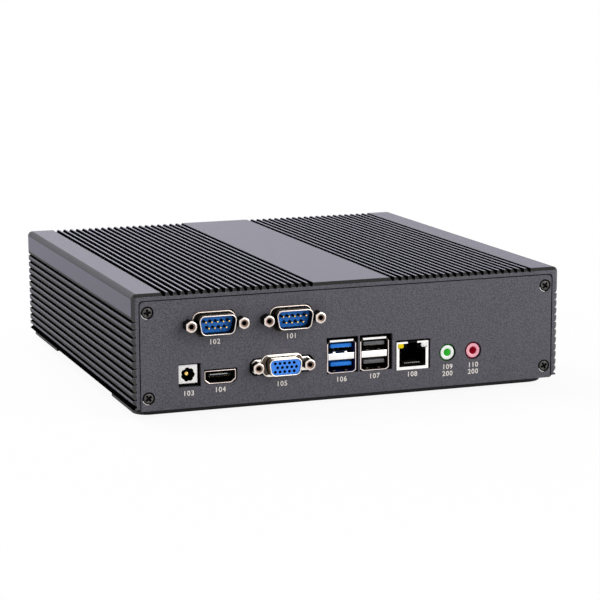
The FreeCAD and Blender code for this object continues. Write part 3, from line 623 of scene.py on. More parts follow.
def ribbon_leads():
    """Flat ribbon of separate leads."""
    made, tree, shader = new_finish("ribbon_leads")
    waves = add_node(tree, "ShaderNodeTexWave", {"Vector": coordinates(tree), "Scale": 125.0},
                     wave_type="BANDS", bands_direction="X").outputs["Fac"]
    feed(tree, shader, {
        "Base Color": blend_colours(tree, waves, (0.12, 0.12, 0.13), (0.42, 0.42, 0.43)),
        "Roughness": ramp(tree, waves, 0, 1, 0.6, 0.45),
        "Normal": bump(tree, waves, 0.8, 0.25),
    })
    return made


def sand_paint(case):
    return sanded("sand_paint", case.panel_colour, 1500.0, 0.06)


def nickel(ports):
    return drawn("nickel_plate", ports.nickel_colour, 0.2, RIM_LINES, shade=0.1, polish=0.07)


# Dark copy of the nickel, as painted shade and painted dark reflections on walls turned from the light
def dull_nickel(ports):
    return drawn("dull_nickel", ports.wall_shade_colour, 0.3, WALL_LINES, shade=0.45)


def bright_can():
    return drawn("bright_can", (0.97, 0.95, 0.93), 0.26, RIM_LINES, shade=0.06)


def gold(ports):
    return drawn("gold_contact", ports.gold_colour, 0.22, PIN_LINES, shade=0.1, polish=0.06)


def shaded_metal():
    """Metal turned away from the light."""
    return grained("shaded_metal", (0.006, 0.0055, 0.005), 0.5, grain=1800.0, raised=0.01, shade=0.3,
                   specular=0.06)


def black_plastic(ports):
    return grained("black_moulding", ports.black_colour, 0.5, grain=2600.0, raised=0.012, specular=0.05)


def amber_lens(ports):
    return grained("amber_lens", ports.amber_colour, 0.3, grain=900.0, raised=0.01, mottle=500.0,
                   specular=0.12)


# Hood

# The hood's finishes, in the order that its mesh holds them
TOP, GROOVE, EDGE, TOP_BEVEL, SIDE_BEVEL, PANEL, RECESS, SIDE, CREST = range(9)


def hood_finishes(case):
    groove = case.groove_shade_colour
    return [
        # Top and sides fade into the painted groove shade, each at its own depth
        blasted("blasted_top", case.hood_colour, groove, 0.05, 0.3),
        # The grooves' painted shade: near black, without gloss
        grained("dark_groove", groove, 0.8, grain=2600.0, mottle=400.0, shade=0.3, specular=0.0),
        grained("rolled_edge", case.edge_shade_colour, 0.52, grain=3200.0, mottle=1500.0, shade=0.08,
                specular=0.14),
        # Painted shade on the end bevels
        grained("top_bevel", case.top_bevel_colour, 0.5, grain=2600.0, mottle=900.0, shade=0.25,
                specular=0.15),
        grained("side_bevel", case.side_bevel_colour, 0.5, grain=2600.0, mottle=900.0, shade=0.15,
                specular=0.3),
        sand_paint(case),
        # Near black painted on the hood's inner walls and round the end panels, as painted shade in the gap
        grained("dark_recess", (0.004, 0.004, 0.0042), 0.7, grain=2200.0, mottle=200.0, specular=0.08),
        blasted("blasted_side", case.hood_colour, groove, 0.03, 0.12),
        # Fin crests on top get the top's colour about twice as light, as a painted highlight
        blasted("blasted_crest", tinted(case.hood_colour, 2.05), groove, 0.04, 0.3),
    ]


def groove_side(edge, floor, fall, sink, case):
    """Points (distance from the groove's middle, depth) down a groove's lip, wall and rounded root."""
    root = mm(case.groove_root)
    depth = mm(case.groove_depth)
    turns = quarter_turns(8)
    lip = [(edge + fall * (1 - math.sin(turn)), sink * (1 - math.cos(turn))) for turn in turns]
    bend = [(root * (1 - math.cos(turn)), root * (1 - math.sin(turn))) for turn in turns[::2]]
    return lip + [(floor - out, depth - up) for out, up in bend]


def groove_dip(centre, first, last):
    """Points (place, depth) across one groove, down its first side and up its last."""
    descent = [(centre - out, down) for out, down in first]
    return descent + [(centre + out, down) for out, down in reversed(last)]


def hood_side(low, high, case):
    """The hood's outer line up its left side, from its foot to the end of its rolled edge."""
    left = -high.x
    edge = mm(case.edge_radius)
    foot = mm(case.lower_radius)
    gap = mm(case.groove_width) / 2
    floor = gap - mm(case.groove_taper)
    lip = mm(case.side_lip)
    hang, fall, sink = mm(case.side_hang), mm(case.side_fall), mm(case.side_sink)
    overhang, low_hang, low_fall, low_sink = 0.65, 0.3, 0.9, 0.6
    shelf = groove_side(gap, floor, lip, lip, case)
    hanging = groove_side(gap - hang, floor - overhang, fall, sink, case)
    lowest = groove_side(gap - low_hang, floor - low_hang, low_fall, low_sink, case)
    inner = left + mm(case.foot_rebate)
    rise = low.z + mm(case.foot_rise)
    line = [(inner, low.z), (inner, rise)] + arc((left + foot, rise + foot), foot, 270, 180, 4)
    for index in range(case.side_groove_count):
        centre = mm(case.side_first_groove) + index * mm(case.side_groove_pitch)
        dip = groove_dip(centre, shelf, hanging if index else lowest)
        line += [(left + depth, low.z + place) for place, depth in dip]
    return line + arc((left + edge, high.z - edge), edge, 180, 90, 10)


def hood_outside(low, high, case):
    """The hood's outer line, from the foot of its left side over the top to the foot of its right side."""
    gap = mm(case.groove_width) / 2
    lip = mm(case.top_lip)
    flank = groove_side(gap, gap - mm(case.groove_taper), lip, lip, case)
    first, pitch = mm(case.top_first_groove), mm(case.top_groove_pitch)
    offsets = [first + index * pitch for index in range(case.top_groove_count)]
    top = []
    for centre in [-offset for offset in reversed(offsets)] + offsets:
        top += [(place, high.z - depth) for place, depth in groove_dip(centre, flank, flank)]
    left = hood_side(low, high, case)
    return left + top + mirrored(left)


def hood_opening(low, high, case):
    """Line of the recess that an end panel sits in, from its left foot to its right foot."""
    half = high.x - mm(case.end_rim)
    top = high.z - mm(case.end_rim)
    radius = mm(case.panel_radius)
    left = [(-half, low.z)] + arc((-half + radius, top - radius), radius, 180, 90, 6)
    return left + mirrored(left)


def hood_inside(low, high, case):
    """The hood's inner line behind the end panels, with a screw block in each corner."""
    screws_low, screws_high = node_box("rear_panel_screws")
    head = mm(case.screw_head)
    radius = mm(case.boss_radius)
    screw_x = head - screws_high.x
    screw_low = screws_low.z + head
    screw_high = screws_high.z - head
    if screw_low >= screw_high:
        raise RuntimeError("the panel screws are not where the hood expects them")
    block = screw_x + radius
    wall = mm(case.side_wall) - high.x
    left = [(block, low.z)] + arc((screw_x, screw_low), radius, 0, 90, 5)
    left += [(wall, screw_low + radius), (wall, screw_high - radius)]
    left += arc((screw_x, screw_high), radius, -90, 0, 5) + [(block, high.z - mm(case.top_wall))]
    return left + mirrored(left)


def drawn_in(points, low, high, edge, inset):
    """Points of the hood's section kept inside its outline drawn in by the end bevel."""
    held = []
    corner_x = high.x - edge
    corner_z = high.z - edge
    limit = high.x - inset
    for x, z in points:
        if abs(x) > corner_x and z > corner_z:
            away = Vector((abs(x) - corner_x, z - corner_z))
            if away.length > edge - inset:
                away = away.normalized() * (edge - inset)
            held.append((math.copysign(corner_x + away.x, x), corner_z + away.y))
        else:
            held.append((max(-limit, min(limit, x)), max(low.z + inset, min(high.z - inset, z))))
    return held


def hood_strips(outside, low, high, case):
    """For each point of the hood's outer line, the finish of the strip before it and of its end bevel."""
    edge = mm(case.edge_radius)
    lit_above, lit_below = 0.2, 0.3
    strips = []
    for (x, z), (last_x, last_z) in zip(outside, outside[-1:] + outside[:-1]):
        height = (z + last_z) / 2
        from_side = high.x - abs(x + last_x) / 2
        from_top = high.z - height
        depth = min(from_side, from_top)
        bevel = TOP_BEVEL if from_top < from_side else SIDE_BEVEL
        faces_up = (z - last_z) * (abs(last_x) - abs(x)) > 0
        if from_side < edge and from_top < edge:
            strips.append((EDGE, bevel))
        # Below the lowest side groove the hood takes the painted groove shade
        elif height < low.z + mm(case.side_first_groove):
            strips.append((GROOVE, GROOVE))
        # Side strips keep the lit colour down to a depth that depends on whether they face up; deeper strips
        # take the painted groove shade
        elif from_side < from_top and depth < (lit_above if faces_up else lit_below):
            strips.append((SIDE, bevel))
        elif from_side < from_top or depth > mm(case.groove_shade):
            strips.append((GROOVE, GROOVE if depth > mm(case.end_chamfer) else bevel))
        else:
            # Narrow flat strips on top are fin crests, which take the painted highlight
            strips.append((CREST if abs(x - last_x) < mm(case.top_groove_pitch) else TOP, bevel))
    return strips


def build_hood(case):
    low, high = node_box("hood")
    panel_low, panel_high = node_box("rear_panel")
    step = panel_high.y - panel_low.y
    edge = mm(case.edge_radius)
    cut = mm(case.end_chamfer)
    outside = hood_outside(low, high, case)
    opening = hood_opening(low, high, case)
    inside = hood_inside(low, high, case)
    strips = hood_strips(outside, low, high, case)
    # Pairs (distance from the end, inset) over the end bevel, with softened corners
    bevel = [(0.0, cut + 0.05), (0.05, cut - 0.04), (0.14, cut - 0.15), (0.5, cut - 0.51),
             (cut - 0.15, 0.14), (cut - 0.02, 0.04), (cut + 0.15, 0.0), (step, 0.0)]
    cut_strips, bevel_strips = 3, 5

    def end_finish(strip, index):
        if strip < 0:
            return PANEL
        if index >= len(outside):
            return RECESS
        along, over = strips[index]
        if strip < cut_strips:
            return TOP_BEVEL if over == TOP_BEVEL else SIDE_BEVEL
        return over if strip < bevel_strips else along

    def side_finish(strip, index):
        return RECESS if index >= len(outside) else strips[index][0]

    bm = bmesh.new()
    middle = []
    for end, way in ((low.y, 1), (high.y, -1)):
        loops = []
        for back, inset in bevel:
            section = drawn_in(outside + opening[::-1], low, high, edge, inset)
            loops.append(at_y(section, end + way * back))
        rows = skin(bm, loops, cap_end=False, finish=end_finish)
        rim = rows[-1][len(outside):][::-1]
        shelf = [bm.verts.new(point) for point in at_y(inside, end + way * step)]
        bm.faces.new(rim + shelf[::-1]).material_index = RECESS
        middle.append(at_y(outside + inside[::-1], end + way * step))
    skin(bm, middle, cap_start=False, cap_end=False, finish=side_finish)
    make_piece("finned_hood", bm, hood_finishes(case), "hood_metal", ["hood"], sharp=32)


# Panels, base and feet

def dress_case(case):
    for panel in ("rear_panel", "front_panel"):
        dress(panel, sand_paint(case))
    dress("base_plate", sanded("base_paint", case.base_paint_and_shade_colour, 1700.0, 0.05, 0.1, case.base_side_light_colour))


def build_feet(case):
    rubber = grained("foot_rubber", case.rubber_colour, 0.8, grain=1800.0, raised=0.05, mottle=300.0)
    low, high = node_box("rubber_feet")
    size = mm(case.foot_side)
    corner, soft_edge = 2.4, 0.9
    levels = [(inset, low.z + depth) for inset, depth in edge_steps(soft_edge)] + [(0.0, high.z)]
    bm = bmesh.new()
    for x in (low.x, high.x - size):
        for y in (low.y, high.y - size):
            far = (x + size, y + size)
            skin(bm, [at_z(box_outline((x, y), far, inset, corner, 6), z) for inset, z in levels])
    make_piece("moulded_feet", bm, [rubber], "foot_rubber", ["rubber_feet"])


# Case screws

def screw_finishes():
    grain = {"grain": 2200.0, "raised": 0.01, "mottle": 700.0}
    return [
        grained("screw_face", (0.075, 0.072, 0.069), 0.38, metal=0.6, shade=0.3, polish=0.1, **grain),
        grained("screw_black", (0.004, 0.004, 0.004), 0.5, shade=0.25, specular=0.1, **grain),
        # Pale metal for the painted highlight on the screw head's rim
        drawn("scraped_edge", (0.62, 0.61, 0.6), 0.4, (400.0, 400.0, 400.0), shade=0.2),
    ]


def cross_angles(twist):
    """Angles that meet every corner of a cross recess turned by a twist in degrees."""
    parts = (-18.26, -9, 0, 9, 18.26, 26, 35, 45, 55, 64)
    return [math.radians(90 * quarter + part + twist) for quarter in range(4) for part in parts]


def cross_reach(span, twist):
    """Distance from a cross's middle to its edge, by angle."""
    width = span * 0.33

    def reach(turn):
        turn -= math.radians(twist)
        return max(box_reach(turn, span, width), box_reach(turn, width, span))
    return reach


def screw_part(head_depth, tip, twist):
    """Countersunk screw with a cross recess, its face on Y = 0 and its tip towards +Y; a crescent over a
    fixed arc of its rim is a painted highlight.
    """
    face, black, crescent = range(3)
    shank, head = 1.5, 3.0
    angles = cross_angles(twist)
    rings = [(shank, tip, black), (shank, head_depth, black), (head, 0.02, black), (3.02, -0.02, crescent),
             (2.72, -0.05, crescent), (2.66, 0.1, black), (2.3, 0.5, black), (2.22, 0.1, black),
             (2.12, -0.03, face), (1.95, -0.08, face), (1.75, -0.1, face)]
    loops = [at_y(ring((0, 0), radius, angles), y) for radius, y, mark in rings]
    for span, y in ((1.7, -0.1), (1.6, 0.1), (0.8, 1.1)):
        loops.append(at_y(polar_outline((0, 0), cross_reach(span, twist), angles), y))
    marks = [mark for radius, y, mark in rings[1:]] + [face, black, black]
    # The arc of the rim that takes the painted highlight, which stays in one place whatever the recess's
    # twist
    lit_from, lit_to = 205, 275

    def finish(strip, index):
        mark = mark_at(marks, strip)
        toned = lit_from < math.degrees(angles[index]) % 360 < lit_to
        return mark if mark != crescent or toned else black

    part = bmesh.new()
    skin(part, loops, finish=finish)
    return part


def screw_places(name, first, second, head):
    """The four corners of a group of screws, as places along two axes."""
    low, high = node_box(name)
    ends = [(low[axis] + head, high[axis] - head) for axis in (first, second)]
    return [(a, b) for a in ends[0] for b in ends[1]]


def build_case_screws(case):
    finishes = screw_finishes()
    head = mm(case.screw_head)
    rear_low, rear_high = node_box("rear_panel_screws")
    front_high = node_box("front_panel_screws")[1]
    base_low, base_high = node_box("base_screws")
    reach = rear_high.y - rear_low.y
    twists = (38, 8, 25, 52)
    groups = (
        ("rear_panel_screws", "rear_case_screws", (0, 2), 2.0, reach,
         lambda x, z: Matrix.Translation((x, rear_low.y, z))),
        ("front_panel_screws", "front_case_screws", (0, 2), 2.0, reach,
         lambda x, z: Matrix.Translation((x, front_high.y, z)) @ Matrix.Rotation(math.pi, 4, "Z")),
        ("base_screws", "base_case_screws", (0, 1), 1.7, base_high.z - base_low.z,
         lambda x, y: Matrix.Translation((x, y, base_low.z)) @ Matrix.Rotation(QUARTER, 4, "X")),
    )
    for node, name, axes, head_depth, tip, placed in groups:
        bm = bmesh.new()
        for place, twist in zip(screw_places(node, *axes, head), twists):
            part = screw_part(head_depth, tip, twist)
            stamp(bm, part, placed(*place))
            part.free()
        make_piece(name, bm, finishes, "black_steel", [node])


# D-shaped ports

# Sizes in millimetres: across the shells and their collars, between the two jackscrews beside a port, of the
# flange behind a shell, and of the gap between a shell and its insert
SERIAL_SIZE = (18.6, 9.1)
SERIAL_COLLAR = (19.4, 9.1)
ANALOG_SIZE = (16.8, 8.0)
ANALOG_COLLAR = (19.4, 8.3)
JACK_SPACING = 24.99
FLANGE = 1.0
INSERT_GAP = 0.03
# What a strip of a D-shaped shell is: a part of its collar, or of the shell that stands on it
COLLAR_EDGE, COLLAR_FACE, FILLET, WALL, RIM, INSIDE, STREAK = range(7)


def d_outline(centre, size, margin, ports):
    """Outline of a D-shaped connector, wide side up, grown by a margin."""
    lean = math.radians(10)
    width, height = size
    high = height / 2 + margin
    side = margin / math.cos(lean)
    top = width / 2 + side + margin * math.tan(lean)
    low = width / 2 - height * math.tan(lean) + side - margin * math.tan(lean)
    radius = max(mm(ports.shell_radius) + margin, 0.3)
    corners = [(-low, -high), (low, -high), (top, high), (-top, high)]
    return rounded([(x, z, radius) for x, z in moved(corners, *centre)], 7)


def shell_levels(panel, reach, ports):
    """(margin, y, part) from a D-shaped collar in the panel, out along the shell, round its rim and back in.

    The part is that of the strip up to that level."""
    collar = mm(ports.collar_margin)
    crest = panel - mm(ports.collar_proud)
    wall = mm(ports.shell_wall)
    levels = [(collar, crest + 0.3, COLLAR_EDGE), (collar - 0.06, crest + 0.14, COLLAR_EDGE),
              (collar - 0.2, crest + 0.03, COLLAR_EDGE), (collar - 0.35, crest, COLLAR_EDGE),
              (0.4, crest + 0.02, COLLAR_FACE), (0.16, crest - 0.06, FILLET), (0.03, crest - 0.22, FILLET),
              (0.0, crest - 0.45, WALL), (0.0, reach + wall / 2 + 0.15, WALL)]
    for step, (margin, y) in enumerate(rim_levels(reach, wall)):
        levels.append((margin, y, RIM if step else WALL))
    levels.append((-wall, reach + wall / 2 + 0.3, INSIDE))
    return levels


def shell_loops(levels, shell, collar, ports):
    """Loops along a D-shaped shell, where the shell and its collar's edge each have a middle and a size."""
    loops = []
    for margin, y, part in levels:
        centre, size = collar if part == COLLAR_EDGE else shell
        loops.append(at_y(d_outline(centre, size, margin, ports), y))
    return loops


def insert_levels(front, soft_edge, ports):
    """Pairs (margin, y) over the softened front edge of the insert in a D-shaped shell."""
    margin = -mm(ports.shell_wall) - INSERT_GAP
    return [(margin - inset, front + depth) for inset, depth in edge_steps(soft_edge)]


def jackscrew(bm, centre, seat, reach, stud_end, ports):
    """Hexagonal jackscrew with a rounded end and a threaded bore; its sides, stud and thread are painted
    dark and the mouth of its bore brown, as painted shade.
    """
    bright, dark, toned = 0, 2, 3
    flat = mm(ports.jack_flats) / 2
    bore = mm(ports.jack_bore)
    stud = 1.4

    def hexagon(limit):
        def distance(turn):
            part = (turn + math.pi / 6) % (math.pi / 3) - math.pi / 6
            return min(flat / math.cos(part), limit)
        return polar_outline(centre, distance, full_turn(48))

    rings = [(circle(centre, stud), stud_end, dark), (circle(centre, stud), seat, dark)]
    for limit, y in ((2.7, seat), (2.95, seat - 0.2), (2.95, reach + 0.6), (2.75, reach + 0.34)):
        rings.append((hexagon(limit), y, dark))
    for limit, y in ((2.58, reach + 0.18), (2.44, reach + 0.06), (2.3, reach)):
        rings.append((hexagon(limit), y, bright))
    rings.append((circle(centre, bore + 0.55), reach, bright))
    rings.append((circle(centre, bore - 0.1), reach + 0.4, toned))
    for turn in range(9):
        thread = bore + (0.04 if turn % 2 else -0.1)
        rings.append((circle(centre, thread), reach + 0.5 + turn * 0.45, dark))
    marks = [mark for outline, y, mark in rings[1:]]
    skin(bm, [at_y(outline, y) for outline, y, mark in rings], finish=marks)


def build_jackscrews(port, centre, seat, ports):
    # Brown painted shade in the mouth of a jackscrew's bore
    sunk = drawn("worn_bore", (0.22, 0.14, 0.105), 0.4, (900.0, 900.0, 300.0), metal=0.4, shade=0.5)
    finishes = [nickel(ports), dull_nickel(ports), shaded_metal(), sunk]
    low, high = node_box(f"{port}_jackscrews")
    bm = bmesh.new()
    for x in (centre[0] - JACK_SPACING / 2, centre[0] + JACK_SPACING / 2):
        jackscrew(bm, (x, centre[1]), seat, low.y, high.y, ports)
    make_piece(f"{port}_hex_posts", bm, finishes, "nickel_plate", [f"{port}_jackscrews"], sharp=25)


def build_serial_shell(port, centre, ports):
    bright, shaded, dark, toned = range(4)
    finishes = [nickel(ports), dull_nickel(ports), shaded_metal(),
                drawn("worn_nickel", (0.88, 0.76, 0.68), 0.42, RIM_LINES, metal=0.7)]
    low, high = node_box(f"{port}_shell")
    flange = high.y - FLANGE
    outline = d_outline(centre, SERIAL_SIZE, 0, ports)
    plate = []
    for x, z in moved(outline, -centre[0], -centre[1]):
        across = (high.x - centre[0]) / max(abs(x), TINY)
        up = (high.z - centre[1]) / max(abs(z), TINY)
        plate.append((centre[0] + x * min(across, up), centre[1] + z * min(across, up)))
    levels = [(mm(ports.collar_margin), flange, COLLAR_FACE)]
    levels += shell_levels(node_box("rear_panel")[0].y, low.y, ports)
    levels.append((-mm(ports.shell_wall), high.y, INSIDE))
    collar = ((centre[0] - 0.3, centre[1]), SERIAL_COLLAR)
    loops = [at_y(plate, high.y), at_y(plate, flange)]
    loops += shell_loops(levels, (centre, SERIAL_SIZE), collar, ports)
    # The collar's edge takes a lit copy of the nickel on its upper half and the dark nickel below; its face,
    # fillet and the shell's inside are painted near black and its walls dark: painted light and shade
    finish_of = {COLLAR_EDGE: toned, COLLAR_FACE: dark, FILLET: dark, WALL: shaded, RIM: bright, INSIDE: dark}
    # The plate's edge comes before the levels, and the strip that closes the ring after them.
    marks = [shaded] + [finish_of[part] for margin, y, part in levels] + [shaded]

    def finish(strip, index):
        lower_half = outline[index][1] < centre[1] + 0.5
        return shaded if marks[strip] == toned and lower_half else marks[strip]

    bm = bmesh.new()
    skin(bm, loops, join=True, finish=finish)
    make_piece(f"{port}_nickel_shell", bm, finishes, "nickel_plate", [f"{port}_shell"])


def build_serial_insert(port, centre, back, ports):
    blue = grained("serial_blue", ports.serial_blue, 0.4, grain=1500.0, raised=0.01, mottle=180.0,
                   shade=0.14, specular=0.12)
    low, high = node_box(f"{port}_insert")
    levels = insert_levels(low.y, 0.25, ports) + [(-mm(ports.shell_wall) - INSERT_GAP, back)]
    bm = bmesh.new()
    skin(bm, [at_y(d_outline(centre, SERIAL_SIZE, margin, ports), y) for margin, y in levels])
    slab(bm, (low.x, back, low.z), high, 0.3)
    make_piece(f"{port}_blue_insert", bm, [blue], "serial_blue_plastic", [f"{port}_insert"])


def build_serial_pins(port, centre, ports):
    # Pin stems painted near black behind their gold tips, as painted shade
    stem = grained("pin_stem", (0.008, 0.008, 0.01), 0.45, grain=1800.0, raised=0.01, specular=0.1)
    plated, dark = 0, 1
    pitch, row = 2.77, 1.42
    radius = mm(ports.pin_radius)
    low, high = node_box(f"{port}_pins")
    tip = low.y
    root = node_box(f"{port}_insert")[0].y
    profile = [(0.12, tip), (0.3, tip + 0.06), (0.42, tip + 0.2), (radius, tip + 0.5), (radius, root - 0.25),
               (0.72, root - 0.08), (0.8, root + 0.1), (radius, root + 0.1), (radius, high.y)]
    bm = bmesh.new()
    for pins, z in ((5, centre[1] + row), (4, centre[1] - row)):
        for index in range(pins):
            x = centre[0] + (index - (pins - 1) / 2) * pitch
            turned(bm, (x, z), profile, 16, [plated] * 3 + [dark] * 5)
    make_piece(f"{port}_gold_pins", bm, [gold(ports), stem], "gold_contact", [f"{port}_pins"])


def build_serial_ports(ports):
    for port in ("serial_port_1", "serial_port_2"):
        centre = node_middle(f"{port}_shell")
        build_serial_shell(port, centre, ports)
        build_serial_insert(port, centre, node_box(f"{port}_shell")[1].y, ports)
        build_serial_pins(port, centre, ports)
        build_jackscrews(port, centre, node_box("rear_panel")[0].y, ports)


def analog_ears(centre, half, back):
    """Loops of the flange behind the analog video shell, with cut corners and a softened front edge."""
    height, cut, corner, soft_edge = 3.35, 1.8, 0.7, 0.3
    levels = [(inset, back - FLANGE + depth) for inset, depth in edge_steps(soft_edge)] + [(0.0, back)]
    loops = []
    for inset, y in levels:
        x, z, slope = half - inset, height - inset, cut - inset * 0.6
        right = [(x - slope, -z), (x, -z + slope), (x, z - slope), (x - slope, z)]
        corners = moved(right + mirrored(right), *centre)
        loops.append(at_y(rounded([(a, b, corner) for a, b in corners]), y))
    return loops


def build_analog_shell(centre, middle, ports):
    cream, dark, reflection_streak, end_shade = 0, 2, 3, 4
    finishes = [
        drawn("cream_nickel", (0.95, 0.89, 0.82), 0.3, RIM_LINES, shade=0.12),
        dull_nickel(ports),
        shaded_metal(),
        drawn("olive_nickel", (0.3, 0.25, 0.18), 0.35, WALL_LINES, metal=0.3, shade=0.4),
        drawn("brown_nickel", (0.1, 0.07, 0.05), 0.4, WALL_LINES, metal=0.3, shade=0.5),
    ]
    panel = node_box("rear_panel")[0].y
    low, high = node_box("analog_video_shell")
    margin = mm(ports.collar_margin)
    levels = [(margin, high.y, INSIDE), (margin, panel - 0.05, INSIDE)]
    levels += shell_levels(panel, low.y, ports) + [(-mm(ports.shell_wall), high.y, INSIDE)]
    streak_front, streak_back = low.y + 0.8, low.y + 3.3
    second_wall = [index for index, level in enumerate(levels) if level[2] == WALL][1]
    levels[second_wall:second_wall] = [(0.0, streak_back, WALL), (0.0, streak_front, STREAK)]
    parts = [part for margin, y, part in levels[1:]] + [INSIDE]
    outline = d_outline(centre, ANALOG_SIZE, 0, ports)
    end_width, ear_trim = 2.2, 0.6
    end_reach = ANALOG_SIZE[0] / 2 - end_width

    # At the shell's ends the collar face and walls are painted brown as shade, with a lighter olive band
    # along the wall as a painted reflection; fillets and inside are painted near black as shade
    def finish(strip, index):
        part = parts[strip]
        at_end = abs(outline[index][0] - centre[0]) > end_reach
        if at_end and part in (COLLAR_FACE, WALL, STREAK):
            return reflection_streak if part == STREAK else end_shade
        return dark if part in (FILLET, INSIDE) else cream

    bm = bmesh.new()
    collar = ((middle, centre[1] + 0.15), ANALOG_COLLAR)
    skin(bm, shell_loops(levels, (centre, ANALOG_SIZE), collar, ports), join=True, finish=finish)
    skin(bm, analog_ears((middle, centre[1]), (high.x - low.x) / 2 - ear_trim, high.y))
    make_piece("analog_video_nickel_shell", bm, finishes, "nickel_plate", ["analog_video_shell"])


def build_analog_insert(centre, back, ports):
    blue = grained("video_blue", ports.video_blue, 0.4, grain=1500.0, raised=0.01, mottle=180.0, shade=0.1,
                   specular=0.12)
    pitch, row_pitch, sides, hole_depth = 2.29, 1.98, 20, 3.0
    hole = mm(ports.hole_radius)
    low, high = node_box("analog_video_insert")
    front = low.y
    levels = [(-mm(ports.shell_wall) - INSERT_GAP, back + 0.8)] + insert_levels(front, 0.2, ports)[::-1]
    bm = bmesh.new()
    loops = [at_y(d_outline(centre, ANALOG_SIZE, margin, ports), y) for margin, y in levels]
    rows = skin(bm, loops, cap_end=False)
    holes = []
    for row, shift in ((1, -0.25), (0, 0.25), (-1, -0.25)):
        for index in range(5):
            place = (centre[0] + (shift - 2 + index) * pitch, centre[1] + row * row_pitch)
            rings = ((hole + 0.05, front), (hole, front + 0.12), (hole, front + hole_depth))
            sunk = [at_y(circle(place, radius, sides), y) for radius, y in rings]
            # Hole walls painted black, as painted shade in the holes
            holes.append(skin(bm, sunk, cap_start=False, finish=1)[0])
    holed_face(bm, rows[-1], holes)
    slab(bm, (low.x, node_box("rear_panel")[0].y + 2.0, low.z), high, 0.3, finish=1)
    make_piece("analog_video_blue_insert", bm, [blue, black_plastic(ports)], "video_blue_plastic",
               ["analog_video_insert"])


def build_analog_video(ports):
    middle, height = node_middle("analog_video_shell")
    centre = (middle + 0.2, height)
    back = node_box("analog_video_shell")[1].y
    build_analog_shell(centre, middle, ports)
    build_analog_insert(centre, back, ports)
    build_jackscrews("analog_video", (middle, height), back - FLANGE, ports)


# Digital video port

# Half sizes of the socket, its metal's thickness and half the width of its tongue, in millimetres
DIGITAL_HALF = (7.55, 3.1)
DIGITAL_WALL = 0.45
TONGUE_HALF = 5.5


def digital_outline(centre, margin):
    """Six-sided outline of the digital video socket, with cut lower corners."""
    side, high = (reach + margin for reach in DIGITAL_HALF)
    cut_across, cut_up, cut_radius, top_radius = 2.1, 1.7, 0.9, 0.6
    right = [(side - cut_across, -high, cut_radius), (side, -high + cut_up, cut_radius),
             (side, high, top_radius)]
    corners = [(x, z, max(radius + margin, 0.15)) for x, z, radius in right + mirrored(right)]
    return rounded(moved(corners, *centre), 5)


def build_digital_shell(centre, ports):
    bright, dark = 0, 2
    rose = drawn("rose_nickel", (0.7, 0.59, 0.55), 0.24, RIM_LINES)
    low, high = node_box("digital_video_shell")
    front = low.y
    # The shell's walls and inside are painted dark and only the front of its rim keeps the rose nickel:
    # painted shade
    levels = [(0.0, high.y, dark), (0.0, front + 0.5, dark)]
    for step, (margin, y) in enumerate(rim_levels(front, DIGITAL_WALL)):
        levels.append((margin, y, dark if step < 2 else bright))
    levels += [(-DIGITAL_WALL, front + 0.6, dark), (-DIGITAL_WALL, high.y, dark)]
    marks = [mark for margin, y, mark in levels[1:]] + [dark]
    loops = [at_y(digital_outline(centre, margin), y) for margin, y, mark in levels]
    bm = bmesh.new()
    skin(bm, loops, join=True, finish=marks)
    left, right = centre[0] - TONGUE_HALF, centre[0] + TONGUE_HALF
    board_foot(bm, left, right, low.z, centre[1] - DIGITAL_HALF[1], high.y, 0.2, dark)
    make_piece("digital_video_nickel_shell", bm, [rose, dull_nickel(ports), shaded_metal()], "nickel_plate",
               ["digital_video_shell"])


def build_digital_tongue(centre, ports):
    finishes = [
        grained("grey_moulding", (0.008, 0.008, 0.009), 0.4, grain=2400.0, raised=0.01, specular=0.08),
        gold(ports),
        black_plastic(ports),
        grained("pale_lip", (0.5, 0.52, 0.54), 0.4, grain=2400.0, raised=0.01),
    ]
    contact, plug, lip = 1, 2, 3
    half_height, lanes, contact_width = 0.65, 10, 0.4
    low, high = node_box("digital_video_tongue")
    front = low.y
    root = high.y - 3
    x, z = centre[0], centre[1] + 0.55
    bm = bmesh.new()
    slab(bm, (x - TONGUE_HALF, front + 0.1, z - half_height), (x + TONGUE_HALF, root, z + half_height), 0.25)
    # A pale band along the tongue's upper front edge, as a painted highlight
    slab(bm, (x - 4.6, front, z + 0.22), (x + 3.8, front + 0.4, z + 0.6), 0.1, finish=lip)
    for index in range(lanes):
        lane = x + index - (lanes - 1) / 2
        for left, bottom, top in ((lane - 0.2, z - 0.72, z - 0.6), (lane + 0.05, z + 0.6, z + 0.7)):
            right = left + contact_width
            slab(bm, (left, front + 0.4, bottom), (right, front + 6, top), 0.05, finish=contact)
    skin(bm, [at_y(digital_outline(centre, -DIGITAL_WALL), y) for y in (root, high.y)], finish=plug)
    make_piece("digital_video_contacts", bm, finishes, "grey_plastic", ["digital_video_tongue"])


def build_digital_video(ports):
    middle = node_middle("digital_video_shell")[0]
    centre = (middle, node_box("digital_video_shell")[1].z - DIGITAL_HALF[1])
    build_digital_shell(centre, ports)
    build_digital_tongue(centre, ports)


# Power inlet

